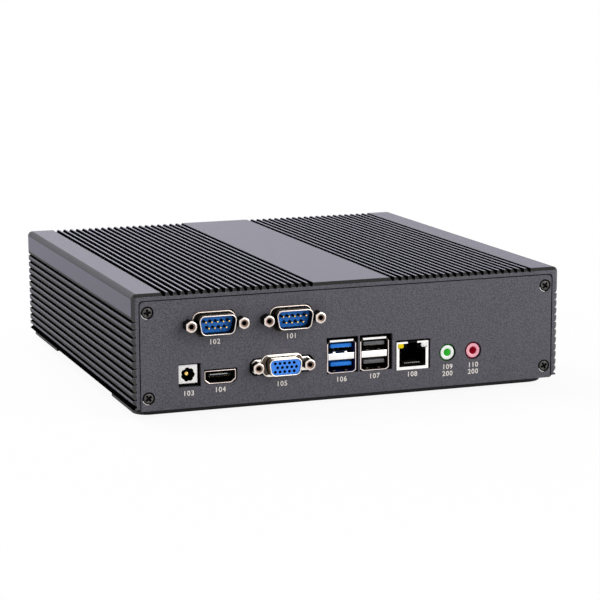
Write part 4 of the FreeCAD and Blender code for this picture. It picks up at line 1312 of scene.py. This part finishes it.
def build_power_inlet(ports):
    pale = grained("pale_moulding", ports.cream_colour, 0.35, grain=1800.0, raised=0.01, mottle=200.0,
                   shade=0.05)
    low, high = node_box("power_inlet_body")
    half = (high.x - low.x) / 2
    centre = ((low.x + high.x) / 2, high.z - half)
    front = low.y
    foot_cut, bore, bore_depth = 0.35, 2.7, 9.5
    scallops, scallop_depth = 7, 0.5
    angles = full_turn(96)

    def face(inset):
        foot = centre[1] - half + foot_cut + inset
        outline = polar_outline(centre, lambda turn: box_reach(turn, half - inset, half - inset), angles)
        return [(x, max(z, foot)) for x, z in outline]

    def scalloped(radius):
        def reach(turn):
            return radius + scallop_depth * abs(math.cos(scallops / 2 * turn + 0.3)) ** 0.8
        return polar_outline(centre, reach, angles)

    bm = bmesh.new()
    steps = edge_steps(0.3)[::-1]
    loops = [at_y(face(0), high.y)] + [at_y(face(inset), front + depth) for inset, depth in steps]
    loops.append(at_y(scalloped(bore + 0.1), front))
    # The body's sides in the panel's cut-out are painted black, as painted shade in the gap
    skin(bm, loops, cap_end=False, finish=[1, 1] + [0] * len(steps))
    hole = ((bore + 0.1, 0), (bore, 0.12), (bore, bore_depth))
    loops = [at_y(scalloped(radius), front + depth) for radius, depth in hole]
    # The bore's walls are painted black, as painted shade in the hole
    skin(bm, loops, cap_start=False, finish=1)
    board_foot(bm, low.x, high.x, low.z, centre[1] - half, high.y, 0.3, 1)
    make_piece("power_inlet_moulding", bm, [pale, black_plastic(ports)], "cream_plastic",
               ["power_inlet_body"])

    pin_low, pin_high = node_box("power_inlet_pin")
    tip = pin_low.y
    pin = 0.97
    profile = [(0.35, tip + 0.1), (0.5, tip), (0.8, tip + 0.05), (pin, tip + 0.3), (pin, pin_high.y)]
    bm = bmesh.new()
    turned(bm, centre, profile, 24)
    make_piece("power_inlet_gold_pin", bm, [gold(ports)], "gold_contact", ["power_inlet_pin"])


# Data ports

# Height of a stack of two sockets, its wall, the bar between them, and a socket's depth and height, in
# millimetres
DATA_HEIGHT = 15.8
DATA_WALL = 0.7
DATA_BAR = 3.1
DATA_DEPTH = 10.9
DATA_SOCKET = (DATA_HEIGHT - DATA_BAR) / 2 - DATA_WALL


def can_outline(low, high, insets, cut_foot, cut_crown):
    """Front of a metal can with cut corners, its edges drawn in at the sides, foot and crown."""
    sides, foot, crown = insets
    left, right = low[0] + sides, high[0] - sides
    bottom, top = low[1] + foot, high[1] - crown
    corners = [(left + cut_foot[0], bottom), (right - cut_foot[0], bottom), (right, bottom + cut_foot[1]),
               (right, top - cut_crown[1]), (right - cut_crown[0], top), (left + cut_crown[0], top),
               (left, top - cut_crown[1]), (left, bottom + cut_foot[1])]
    return rounded([(x, z, 0.3) for x, z in corners], 3)


def data_metals(ports):
    return [
        bright_can(),
        dull_nickel(ports),
        shaded_metal(),
        drawn("rose_rim", (0.84, 0.74, 0.71), 0.24, RIM_LINES, shade=0.1),
        # Dark blue on the inner walls of the blue sockets, as a painted reflection of the tongues in shade
        grained("blue_shade", (0.004, 0.008, 0.05), 0.5, grain=1800.0, raised=0.01, shade=0.3,
                specular=0.08),
    ]


def build_data_shell(name, foot, inside, ports):
    bright, shaded, dark, rim = range(4)
    low, high = node_box(f"{name}_shell")
    front = low.y
    ends = ((low.x, foot), (high.x, high.z))
    outer = can_outline(*ends, (0, 0, 0), (1.55, 1.0), (1.4, 1.7))
    soft = can_outline(*ends, (0.12, 0.12, 0.12), (1.5, 0.96), (1.36, 1.66))
    lip = can_outline(*ends, (0.45, 0.42, 0.95), (1.35, 0.85), (1.25, 1.15))
    inner = can_outline(*ends, (0.55, 0.55, 1.05), (1.3, 0.8), (1.2, 1.1))
    loops = [at_y(outer, high.y), at_y(outer, front + 0.15), at_y(soft, front), at_y(lip, front),
             at_y(inner, front + 0.2), at_y(inner, front + DATA_DEPTH)]

    # The rim's top is painted bright and its sides rose, its upper cut corners take the dark nickel, and the
    # outer walls and inside take painted shade: lit and shaded copies of the nickel
    def finish(strip, index):
        if strip not in (1, 2):
            return dark if strip < 1 else inside
        (x, z), (last_x, last_z) = outer[index], outer[index - 1]
        if min(z, last_z) > high.z - 0.2:
            return bright
        slanted = min(abs(x - last_x), abs(z - last_z)) > 0.15
        return shaded if slanted and z > foot + 3 else rim

    bar = foot + DATA_WALL + DATA_SOCKET
    bm = bmesh.new()
    skin(bm, loops, finish=finish)
    slab(bm, (low.x + 0.62, front + 0.02, bar), (high.x - 0.95, front + DATA_DEPTH, bar + DATA_BAR), 0.25)
    board_foot(bm, low.x + DATA_WALL, high.x - DATA_WALL, low.z, foot, high.y, 0.2, dark)
    make_piece(f"{name}_nickel_shell", bm, data_metals(ports), "nickel_plate", [f"{name}_shell"])


def build_data_tongues(name, foot, tongue, slot, lit_upper_springs, ports):
    """Tongues, contacts and holding springs of two data sockets, one above the other."""
    black, contact = 1, 2
    half_width, half_height = 5.3, 0.95
    contacts, contact_pitch, contact_half = 4, 2.4, 0.5
    spring_half = 0.7
    low, high = node_box(f"{name}_shell")
    left, right, front = low.x + DATA_WALL + 0.05, high.x - DATA_WALL - 0.05, low.y
    back = front + 10.8
    middle = (low.x + high.x) / 2 + 0.3
    bm = bmesh.new()
    springs = bmesh.new()
    lower = foot + DATA_WALL
    for base, springs_lit in ((lower, False), (lower + DATA_SOCKET + DATA_BAR, lit_upper_springs)):
        z = base + DATA_SOCKET / 2 + 0.4
        slab(bm, (middle - half_width, front + 1.6, z - half_height),
             (middle + half_width, back, z + half_height), 0.35)
        slab(bm, (left, front + 10.2, base + 0.05), (right, back, base + DATA_SOCKET - 0.5), 0.1,
             finish=black)
        for index in range(contacts):
            x = middle + (index - (contacts - 1) / 2) * contact_pitch
            slab(bm, (x - contact_half, front + 2.2, z - 1.05), (x + contact_half, front + 9, z - 0.9), 0.06,
                 finish=contact)
        # Springs in the lit upper sockets take the bright nickel; the rest take the dark nickel, as painted
        # shade
        for x in (middle - 3.7, middle + 2.2):
            slab(springs, (x - spring_half, front + 0.9, base - 0.1),
                 (x + spring_half, front + 4.0, base + 0.62), 0.25, finish=0 if springs_lit else 1)
    finishes = [tongue, black_plastic(ports), gold(ports)]
    make_piece(f"{name}_tongue_set", bm, finishes, slot, [f"{name}_tongues"])
    make_piece(f"{name}_springs", springs, data_metals(ports)[:2], "nickel_plate")


def build_data_ports(ports):
    dark, blue_shade = 2, 4
    blue = grained("data_blue", ports.data_blue, 0.34, grain=1500.0, raised=0.01, mottle=200.0, shade=0.1,
                   specular=0.2)
    grey = grained("dark_tongue", (0.1, 0.1, 0.105), 0.4, grain=1800.0, raised=0.01, mottle=200.0, shade=0.2)
    for name, tongue, slot, inside, lit_upper_springs in (
            ("data_ports_1", blue, "data_blue_plastic", blue_shade, True),
            ("data_ports_2", grey, "black_plastic", dark, False)):
        foot = node_box(f"{name}_shell")[1].z - DATA_HEIGHT
        build_data_shell(name, foot, inside, ports)
        build_data_tongues(name, foot, tongue, slot, lit_upper_springs, ports)


# Network port

# Height and half width of the socket, its metal's thickness and half the width of its latch, in millimetres
NETWORK_HEIGHT = 13.4
NETWORK_HALF = 8.1
NETWORK_SHEET = 0.5
LATCH_HALF = 2.425


def build_network_shell(middle, foot):
    low, high = node_box("network_shell")
    sheet = low.y + NETWORK_SHEET
    half = [(LATCH_HALF, NETWORK_HEIGHT), (NETWORK_HALF, NETWORK_HEIGHT), (NETWORK_HALF, 0.0)]
    inner = [(6.75, 1.4), (6.75, 10.35), (7.45, 10.35), (7.45, 12.6), (4.45, 12.6), (4.45, 12.55),
             (LATCH_HALF, 12.55)]
    face = moved(half + mirrored(half) + mirrored(inner) + inner, middle, foot)
    ends = ((low.x, foot), (high.x, high.z))
    outer = box_outline(*ends, 0, 0.4)
    hollow = box_outline(*ends, NETWORK_SHEET, 0.4)
    bm = bmesh.new()
    skin(bm, [at_y(face, y) for y in (low.y, sheet + 0.3)])
    can = [at_y(outer, sheet), at_y(outer, high.y), at_y(hollow, high.y), at_y(hollow, sheet)]
    # The can's walls behind the front plate are painted dark, as painted shade
    skin(bm, can, join=True, finish=1)
    board_foot(bm, low.x + 2, high.x - 2, low.z, foot, high.y, 0.2, 1)
    make_piece("network_nickel_shell", bm, [bright_can(), shaded_metal()], "nickel_plate", ["network_shell"],
               bevel=0.14)


def build_network_insert(middle, foot):
    # Black moulding, made darker and less glossy than the other black mouldings as painted shade deep in the
    # socket
    deep = grained("socket_black", (0.001, 0.001, 0.001), 0.6, grain=2600.0, raised=0.012, specular=0.02)
    low, high = node_box("network_shell")
    face = low.y + NETWORK_SHEET + 0.1
    wide, ledge, shoulder, crown, side = 5.85, 2.9, 9.9, 12.9, 7.6
    half_cavity = [(wide, ledge), (wide, shoulder), (LATCH_HALF, shoulder), (LATCH_HALF, crown - 0.2)]
    half_outside = [(side, 0.5), (side, crown), (4.0, crown), (LATCH_HALF, crown)]
    cavity = moved(half_cavity + mirrored(half_cavity), middle, foot)
    outside = moved(half_outside + mirrored(half_outside), middle, foot)
    rings = ((outside, high.y - 0.1), (outside, face), (cavity, face), (cavity, face + 11.9))
    bm = bmesh.new()
    skin(bm, [at_y(outline, y) for outline, y in rings])
    make_piece("network_black_insert", bm, [deep], "black_plastic", ["network_insert"])


def build_network_contacts(middle):
    # Contact tips painted pale, as a painted highlight, and their stems near black, as painted shade
    tip = grained("contact_tip", (0.97, 0.94, 0.9), 0.35, metal=0.2, raised=0.005, shade=0.05)
    stem = drawn("contact_stem", (0.012, 0.01, 0.008), 0.45, PIN_LINES, metal=0.2)
    pitch, lanes, half = 1.02, 8, 0.16
    low, high = node_box("network_contacts")
    y, z = low.y, low.z
    bm = bmesh.new()
    for index in range(lanes):
        x = middle + (index - (lanes - 1) / 2) * pitch
        slab(bm, (x - half, y - 1.8, z), (x + half, y - 1.6, z + 0.45), 0.08)
        slab(bm, (x - 0.14, y - 1.7, z), (x + 0.14, y + 0.5, z + 0.4), 0.1, finish=1)
        slab(bm, (x - half, y + 0.4, z), (x + half, high.y, high.z), 0.15, finish=1)
    make_piece("network_gold_contacts", bm, [tip, stem], "gold_contact", ["network_contacts"])


def build_network_port(ports):
    middle = node_middle("network_shell")[0]
    foot = node_box("network_shell")[1].z - NETWORK_HEIGHT
    build_network_shell(middle, foot)
    build_network_insert(middle, foot)
    build_network_contacts(middle)
    clear = grained("clear_lens", (0.92, 0.92, 0.9), 0.22, grain=900.0, raised=0.01, mottle=500.0, coat=0.4)
    for name, finish, slot in (("network_light_left", amber_lens(ports), "amber_lens"),
                               ("network_light_right", clear, "clear_lens")):
        bm = bmesh.new()
        slab(bm, *node_box(name), 0.35, 0.8)
        make_piece(f"{name}_lens", bm, [finish], slot, [name])


# Audio jacks

def audio_finishes(name, core_colour, rim_colour, ports):
    """Core, rim, block and bore, where the bore glows faintly in its own colour, painted light that keeps
    its colour readable in its depth.
    """
    moulding = {"grain": 1600.0, "raised": 0.01, "mottle": 300.0}
    core = grained(f"{name}_core", core_colour, 0.38, specular=0.2, **moulding)
    rim = grained(f"{name}_ring", rim_colour, 0.32, shade=0.04, **moulding)
    bore = grained(f"{name}_bore", core_colour, 0.38, specular=0.2, **moulding)
    tree = bore.node_tree
    # The bore's glow is painted light
    glow = {"Emission Color": (*core_colour, 1.0), "Emission Strength": 0.14}
    feed(tree, tree.nodes["Principled BSDF"], glow)
    return [core, rim, black_plastic(ports), bore]


def build_audio_jack(name, core_colour, rim_colour, slot, ports):
    core, rim, black, bore = range(4)
    crown, proud = 5.5, 2.6
    collar, hole = 3.52, 1.8
    low, high = node_box(name)
    centre = ((low.x + high.x) / 2, high.z - crown)
    front = low.y
    base = front + proud
    across, above, below = (high.x - low.x) / 2, high.z - centre[1], centre[1] - low.z
    corners = [math.atan2(up, side) for up in (above, -below) for side in (across, -across)]
    angles = sorted([turn - math.pi for turn in full_turn(64)] + corners)

    def block_reach(turn):
        return box_reach(turn, across, above if math.sin(turn) > 0 else below)

    block = polar_outline(centre, block_reach, angles)
    profile = [(collar, base), (collar, front + 0.5), (3.48, front + 0.2), (3.4, front + 0.03),
               (3.32, front), (2.0, front), (1.86, front + 0.1), (hole, front + 0.35), (hole, front + 2.2),
               (hole, front + 13.8)]
    loops = [at_y(block, high.y), at_y(block, base)]
    loops += [at_y(ring(centre, radius, angles), y) for radius, y in profile]
    bm = bmesh.new()
    skin(bm, loops, finish=[black] + [core] * 4 + [rim] * 3 + [bore] * 3)
    make_piece(f"{name}_moulding", bm, audio_finishes(name, core_colour, rim_colour, ports), slot, [name])


def build_audio_jacks(ports):
    build_audio_jack("audio_jack", ports.green_colour, ports.mint_colour, "green_plastic", ports)
    build_audio_jack("mic_jack", ports.red_colour, ports.pink_colour, "red_plastic", ports)


# Front panel

def square_loop(centre, side, y, inset=0.0, radius=0.5):
    low = (centre[0] - side, centre[1] - side)
    high = (centre[0] + side, centre[1] + side)
    return at_y(box_outline(low, high, inset, radius, 6), y)


def build_bezel(centre, ports):
    low, high = node_box("power_switch")
    panel = node_box("front_panel")[1].y
    pocket_depth = 6.1
    floor = node_box("power_button")[1].y - pocket_depth
    body, half, pocket = 6.0, (high.x - low.x) / 2, 4.85
    face = high.y
    loops = [square_loop(centre, body, y, radius=0.8) for y in (low.y, panel)]
    loops.append(square_loop(centre, half, panel, radius=2.2))
    for inset, depth in reversed(edge_steps(0.7)):
        loops.append(square_loop(centre, half, face - depth, inset, 2.2))
    for inset, y in ((-0.35, face), (-0.1, face - 0.12), (0, face - 0.4), (0, floor)):
        loops.append(square_loop(centre, pocket, y, inset, 0.6))
    bm = bmesh.new()
    skin(bm, loops)
    make_piece("button_bezel", bm, [black_plastic(ports)], "black_plastic", ["power_switch"])


def build_button_cap(centre):
    steel = drawn("cap_metal", (0.58, 0.58, 0.59), 0.3, (140.0, 140.0, 2600.0))
    low, high = node_box("power_button")
    stem, cap = 1.8, (high.x - low.x) / 2
    top = high.y
    skirt = top - 4.0
    loops = [square_loop(centre, stem, y, radius=0.3) for y in (low.y, skirt)]
    loops.append(square_loop(centre, cap, skirt))
    loops += [square_loop(centre, cap, top - depth, inset) for inset, depth in reversed(edge_steps(0.45))]
    for share, dip in ((0.75, 0.06), (0.5, 0.16), (0.25, 0.22)):
        loops.append(square_loop(centre, cap * share, top - dip, radius=cap * share * 0.6))
    bm = bmesh.new()
    skin(bm, loops)
    make_piece("button_cap", bm, [steel], "bright_metal", ["power_button"], body="power_button")


def build_front_controls(ports):
    centre = node_middle("power_button")
    build_bezel(centre, ports)
    build_button_cap(centre)
    flange, thick = 1.0, 2.0
    panel_back = node_box("front_panel")[1].y - thick
    green = grained("green_lens", (0.1, 0.42, 0.12), 0.2, grain=900.0, raised=0.01, coat=0.4)
    for name, finish, slot in (("power_light", green, "green_lens"),
                               ("drive_light", amber_lens(ports), "amber_lens")):
        low, high = node_box(name)
        bm = bmesh.new()
        front_low = (low.x + flange, low.y, low.z + flange)
        slab(bm, front_low, (high.x - flange, high.y, high.z - flange), 0.3, 0.8)
        slab(bm, low, (high.x, panel_back, high.z), 0.2)
        make_piece(f"{name}_lens", bm, [finish], slot, [name])


# Inside

def dress_inside(ports):
    steel = drawn("zinc_steel", (0.55, 0.56, 0.57), 0.36, (90.0, 900.0, 90.0))
    bare = drawn("bare_aluminium", (0.72, 0.72, 0.73), 0.34, (900.0, 60.0, 900.0))
    board = circuit_board()
    black = black_plastic(ports)
    leads = ribbon_leads()
    finishes = {
        "mainboard": board,
        "memory_module": board,
        "board_standoffs": drawn("brass_posts", (0.7, 0.5, 0.2), 0.3, (200.0, 200.0, 1500.0)),
        "board_screws": steel,
        "processor": drawn("processor_lid", (0.6, 0.6, 0.61), 0.3, (900.0, 90.0, 900.0)),
        "heat_block": bare,
        "thermal_pad": grained("thermal_pad", (0.16, 0.2, 0.27), 0.85, grain=1500.0, raised=0.06,
                               mottle=200.0),
        "memory_socket": black,
        "coin_cell_holder": black,
        "coin_cell": drawn("cell_steel", (0.66, 0.65, 0.63), 0.28, (700.0, 60.0, 60.0)),
        "storage_drive": bare,
        "drive_bracket": steel,
        "drive_screws": steel,
        "bracket_screws": steel,
        "serial_port_1_ribbon": leads,
        "serial_port_1_header": black,
        "serial_port_2_ribbon": leads,
        "serial_port_2_header": black,
    }
    for name, finish in finishes.items():
        dress(name, finish)


# Printed numbers

def print_number(name, words, height, place, ink):
    size_for_height = 1.42
    curve = bpy.data.curves.new(name, "FONT")
    curve.body = words
    curve.align_x = "CENTER"
    curve.align_y = "CENTER"
    curve.size = height * size_for_height
    curve.space_character = 1.15
    curve.extrude = 0.015 * MM
    curve.offset = 0.05 * MM
    writing = bpy.data.objects.new(name, curve)
    mesh = bpy.data.meshes.new_from_object(writing)
    bpy.data.objects.remove(writing)
    mesh.transform(Matrix.Translation(Vector(place) * MM) @ Matrix.Rotation(QUARTER, 4, "X"))
    mesh.materials.clear()
    mesh.materials.append(ink)
    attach(add_object(name, mesh), CHASSIS)


def build_legends(case):
    ink = grained("printed_ink", case.legend_colour, 0.6, grain=2500.0, raised=0.004, mottle=1200.0,
                  shade=0.1)
    proud, row_rise, serial_drop = 0.02, 7.6, 8.6
    face = node_box("rear_panel")[0].y - proud
    row = node_box("hood")[0].z + row_rise
    serial = node_middle("serial_port_1_shell")[1] - serial_drop
    numbers = {
        "serial_port_1_shell": ("101", serial),
        "serial_port_2_shell": ("102", serial),
        "power_inlet_body": ("103", row - 0.8),
        "digital_video_shell": ("104", row - 0.2),
        "analog_video_shell": ("105", row + 0.2),
        "data_ports_1_shell": ("106", row - 0.1),
        "data_ports_2_shell": ("107", row + 0.2),
        "network_shell": ("108", row - 0.45),
        "audio_jack": ("109\n200", row),
        "mic_jack": ("110\n200", row),
    }
    for name, (words, z) in numbers.items():
        place = (node_middle(name)[0], face, z)
        print_number(f"{name}_number", words, case.legend_height, place, ink)


# Stage

def white_to_camera(tree):
    """1 where a camera, glossy or transmission ray looks straight at the backdrop."""
    path = add_node(tree, "ShaderNodeLightPath").outputs
    seen = worked_out(tree, "MAXIMUM", path["Is Camera Ray"], path["Is Glossy Ray"])
    return worked_out(tree, "MAXIMUM", seen, path["Is Transmission Ray"])


def build_camera(stage):
    camera = bpy.data.cameras.new("camera")
    camera.lens = stage.lens
    camera.sensor_width = 36.0
    camera.clip_start = 0.01
    camera.clip_end = 50.0
    eye = add_object("camera", camera)
    turn = Matrix.Rotation(stage.azimuth, 4, "Z") @ Matrix.Rotation(QUARTER - stage.elevation, 4, "X")
    eye.matrix_world = Matrix.Translation(stage.place) @ turn @ Matrix.Rotation(stage.roll, 4, "Z")
    bpy.context.scene.camera = eye


def build_lights(stage):
    world = bpy.data.worlds.new("studio")
    bpy.context.scene.world = world
    world.use_nodes = True
    tree = world.node_tree
    strength = ramp(tree, white_to_camera(tree), 0, 1, stage.ambient, 1.0)
    feed(tree, tree.nodes["Background"], {"Color": (1.0, 1.0, 1.0, 1.0), "Strength": strength})
    target = Vector((0, 0, 0.03))
    softboxes = (("top_softbox", stage.top_power, 0.8, (-0.2, 0.5, 1.0)),
                 ("side_softbox", stage.side_power, 0.5, (-0.75, 0.6, 0.4)),
                 ("front_softbox", stage.front_power, 1.7, (1.15, -1.2, 0.84)))
    for name, watts, size, place in softboxes:
        light = bpy.data.lights.new(name, "AREA")
        light.energy = watts
        light.size = size
        lamp = add_object(name, light)
        lamp.location = place
        lamp.rotation_euler = (target - Vector(place)).to_track_quat("-Z", "Y").to_euler()


def pale_floor():
    """White to the camera, a little darker near the case, and pale grey to every other ray."""
    made, tree, shader = new_finish("pale_floor")
    tree.nodes.remove(shader)
    matte = add_node(tree, "ShaderNodeBsdfDiffuse", {"Color": (0.7, 0.7, 0.7, 1.0)})
    glow = add_node(tree, "ShaderNodeEmission", {"Color": (1.0, 1.0, 1.0, 1.0)})
    away = add_node(tree, "ShaderNodeVectorMath", {0: coordinates(tree)}, operation="LENGTH")
    near = ramp(tree, away.outputs["Value"], 0.12, 0.4, 0.93, 1.0)
    share = worked_out(tree, "MULTIPLY", white_to_camera(tree), near)
    lit = add_node(tree, "ShaderNodeMixShader", {"Fac": share, 1: matte.outputs[0], 2: glow.outputs[0]})
    feed(tree, tree.nodes["Material Output"], {"Surface": lit.outputs[0]})
    return made


def build_floor():
    half_side, below_feet = 6.0, 0.0002
    bm = bmesh.new()
    bmesh.ops.create_grid(bm, x_segments=1, y_segments=1, size=half_side)
    mesh = bpy.data.meshes.new("floor")
    bm.to_mesh(mesh)
    bm.free()
    mesh.materials.append(pale_floor())
    floor = add_object("floor", mesh)
    floor.location.z = -below_feet


def build_stage(stage):
    bpy.context.scene.view_settings.view_transform = "Standard"
    build_camera(stage)
    build_lights(stage)
    build_floor()


# Operators and panel

class BOX_OT_hood(Operator):
    """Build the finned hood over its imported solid"""
    bl_idname = "box_computer.hood"
    bl_label = "Hood"

    def execute(self, context):
        build_hood(context.scene.box_case)
        return {"FINISHED"}


class BOX_OT_case(Operator):
    """Finish the panels and base, and build the feet"""
    bl_idname = "box_computer.case"
    bl_label = "Panels, base and feet"

    def execute(self, context):
        dress_case(context.scene.box_case)
        build_feet(context.scene.box_case)
        return {"FINISHED"}


class BOX_OT_case_screws(Operator):
    """Build the countersunk case screws"""
    bl_idname = "box_computer.case_screws"
    bl_label = "Case screws"

    def execute(self, context):
        build_case_screws(context.scene.box_case)
        return {"FINISHED"}


class BOX_OT_serial_ports(Operator):
    """Build both serial ports"""
    bl_idname = "box_computer.serial_ports"
    bl_label = "Serial ports"

    def execute(self, context):
        build_serial_ports(context.scene.box_ports)
        return {"FINISHED"}


class BOX_OT_video_ports(Operator):
    """Build the analog and digital video ports"""
    bl_idname = "box_computer.video_ports"
    bl_label = "Video ports"

    def execute(self, context):
        build_analog_video(context.scene.box_ports)
        build_digital_video(context.scene.box_ports)
        return {"FINISHED"}


class BOX_OT_power_inlet(Operator):
    """Build the power inlet"""
    bl_idname = "box_computer.power_inlet"
    bl_label = "Power inlet"

    def execute(self, context):
        build_power_inlet(context.scene.box_ports)
        return {"FINISHED"}


class BOX_OT_data_ports(Operator):
    """Build both stacks of data ports"""
    bl_idname = "box_computer.data_ports"
    bl_label = "Data ports"

    def execute(self, context):
        build_data_ports(context.scene.box_ports)
        return {"FINISHED"}


class BOX_OT_network_port(Operator):
    """Build the network port and its lights"""
    bl_idname = "box_computer.network_port"
    bl_label = "Network port"

    def execute(self, context):
        build_network_port(context.scene.box_ports)
        return {"FINISHED"}


class BOX_OT_audio_jacks(Operator):
    """Build the sound output and the microphone input"""
    bl_idname = "box_computer.audio_jacks"
    bl_label = "Audio jacks"

    def execute(self, context):
        build_audio_jacks(context.scene.box_ports)
        return {"FINISHED"}


class BOX_OT_front_controls(Operator):
    """Build the push button and the indicator lights"""
    bl_idname = "box_computer.front_controls"
    bl_label = "Front controls"

    def execute(self, context):
        build_front_controls(context.scene.box_ports)
        return {"FINISHED"}


class BOX_OT_inside(Operator):
    """Finish the parts inside the case"""
    bl_idname = "box_computer.inside"
    bl_label = "Inside"

    def execute(self, context):
        dress_inside(context.scene.box_ports)
        return {"FINISHED"}


class BOX_OT_legends(Operator):
    """Print a number under each connector"""
    bl_idname = "box_computer.legends"
    bl_label = "Printed numbers"

    def execute(self, context):
        build_legends(context.scene.box_case)
        return {"FINISHED"}


class BOX_OT_stage(Operator):
    """Set up the camera, the lights and the floor"""
    bl_idname = "box_computer.stage"
    bl_label = "Stage"

    def execute(self, context):
        build_stage(context.scene.box_stage)
        return {"FINISHED"}


STEPS = (BOX_OT_hood, BOX_OT_case, BOX_OT_case_screws, BOX_OT_serial_ports, BOX_OT_video_ports,
         BOX_OT_power_inlet, BOX_OT_data_ports, BOX_OT_network_port, BOX_OT_audio_jacks,
         BOX_OT_front_controls, BOX_OT_inside, BOX_OT_legends, BOX_OT_stage)


class BOX_PT_parts(Panel):
    """Lists the steps that dress the box computer"""
    bl_idname = "BOX_PT_parts"
    bl_label = "Box Computer"
    bl_space_type = "VIEW_3D"
    bl_region_type = "UI"
    bl_category = "Box Computer"

    def draw(self, context):
        for step in STEPS:
            self.layout.operator(step.bl_idname)
        for settings in (context.scene.box_case, context.scene.box_ports, context.scene.box_stage):
            group = self.layout.box()
            for key in settings.bl_rna.properties.keys():
                if key not in ("rna_type", "name"):
                    group.prop(settings, key)


CLASSES = (CaseSettings, PortSettings, StageSettings) + STEPS + (BOX_PT_parts,)


def register():
    for entry in CLASSES:
        bpy.utils.register_class(entry)
    bpy.types.Scene.box_case = PointerProperty(type=CaseSettings)
    bpy.types.Scene.box_ports = PointerProperty(type=PortSettings)
    bpy.types.Scene.box_stage = PointerProperty(type=StageSettings)


def unregister():
    del bpy.types.Scene.box_stage
    del bpy.types.Scene.box_ports
    del bpy.types.Scene.box_case
    for entry in reversed(CLASSES):
        bpy.utils.unregister_class(entry)


def main():
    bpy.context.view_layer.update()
    register()
    bpy.ops.box_computer.hood()
    bpy.ops.box_computer.case()
    bpy.ops.box_computer.case_screws()
    bpy.ops.box_computer.serial_ports()
    bpy.ops.box_computer.video_ports()
    bpy.ops.box_computer.power_inlet()
    bpy.ops.box_computer.data_ports()
    bpy.ops.box_computer.network_port()
    bpy.ops.box_computer.audio_jacks()
    bpy.ops.box_computer.front_controls()
    bpy.ops.box_computer.inside()
    bpy.ops.box_computer.legends()
    bpy.ops.box_computer.stage()


if __name__ == "__main__":
    main()
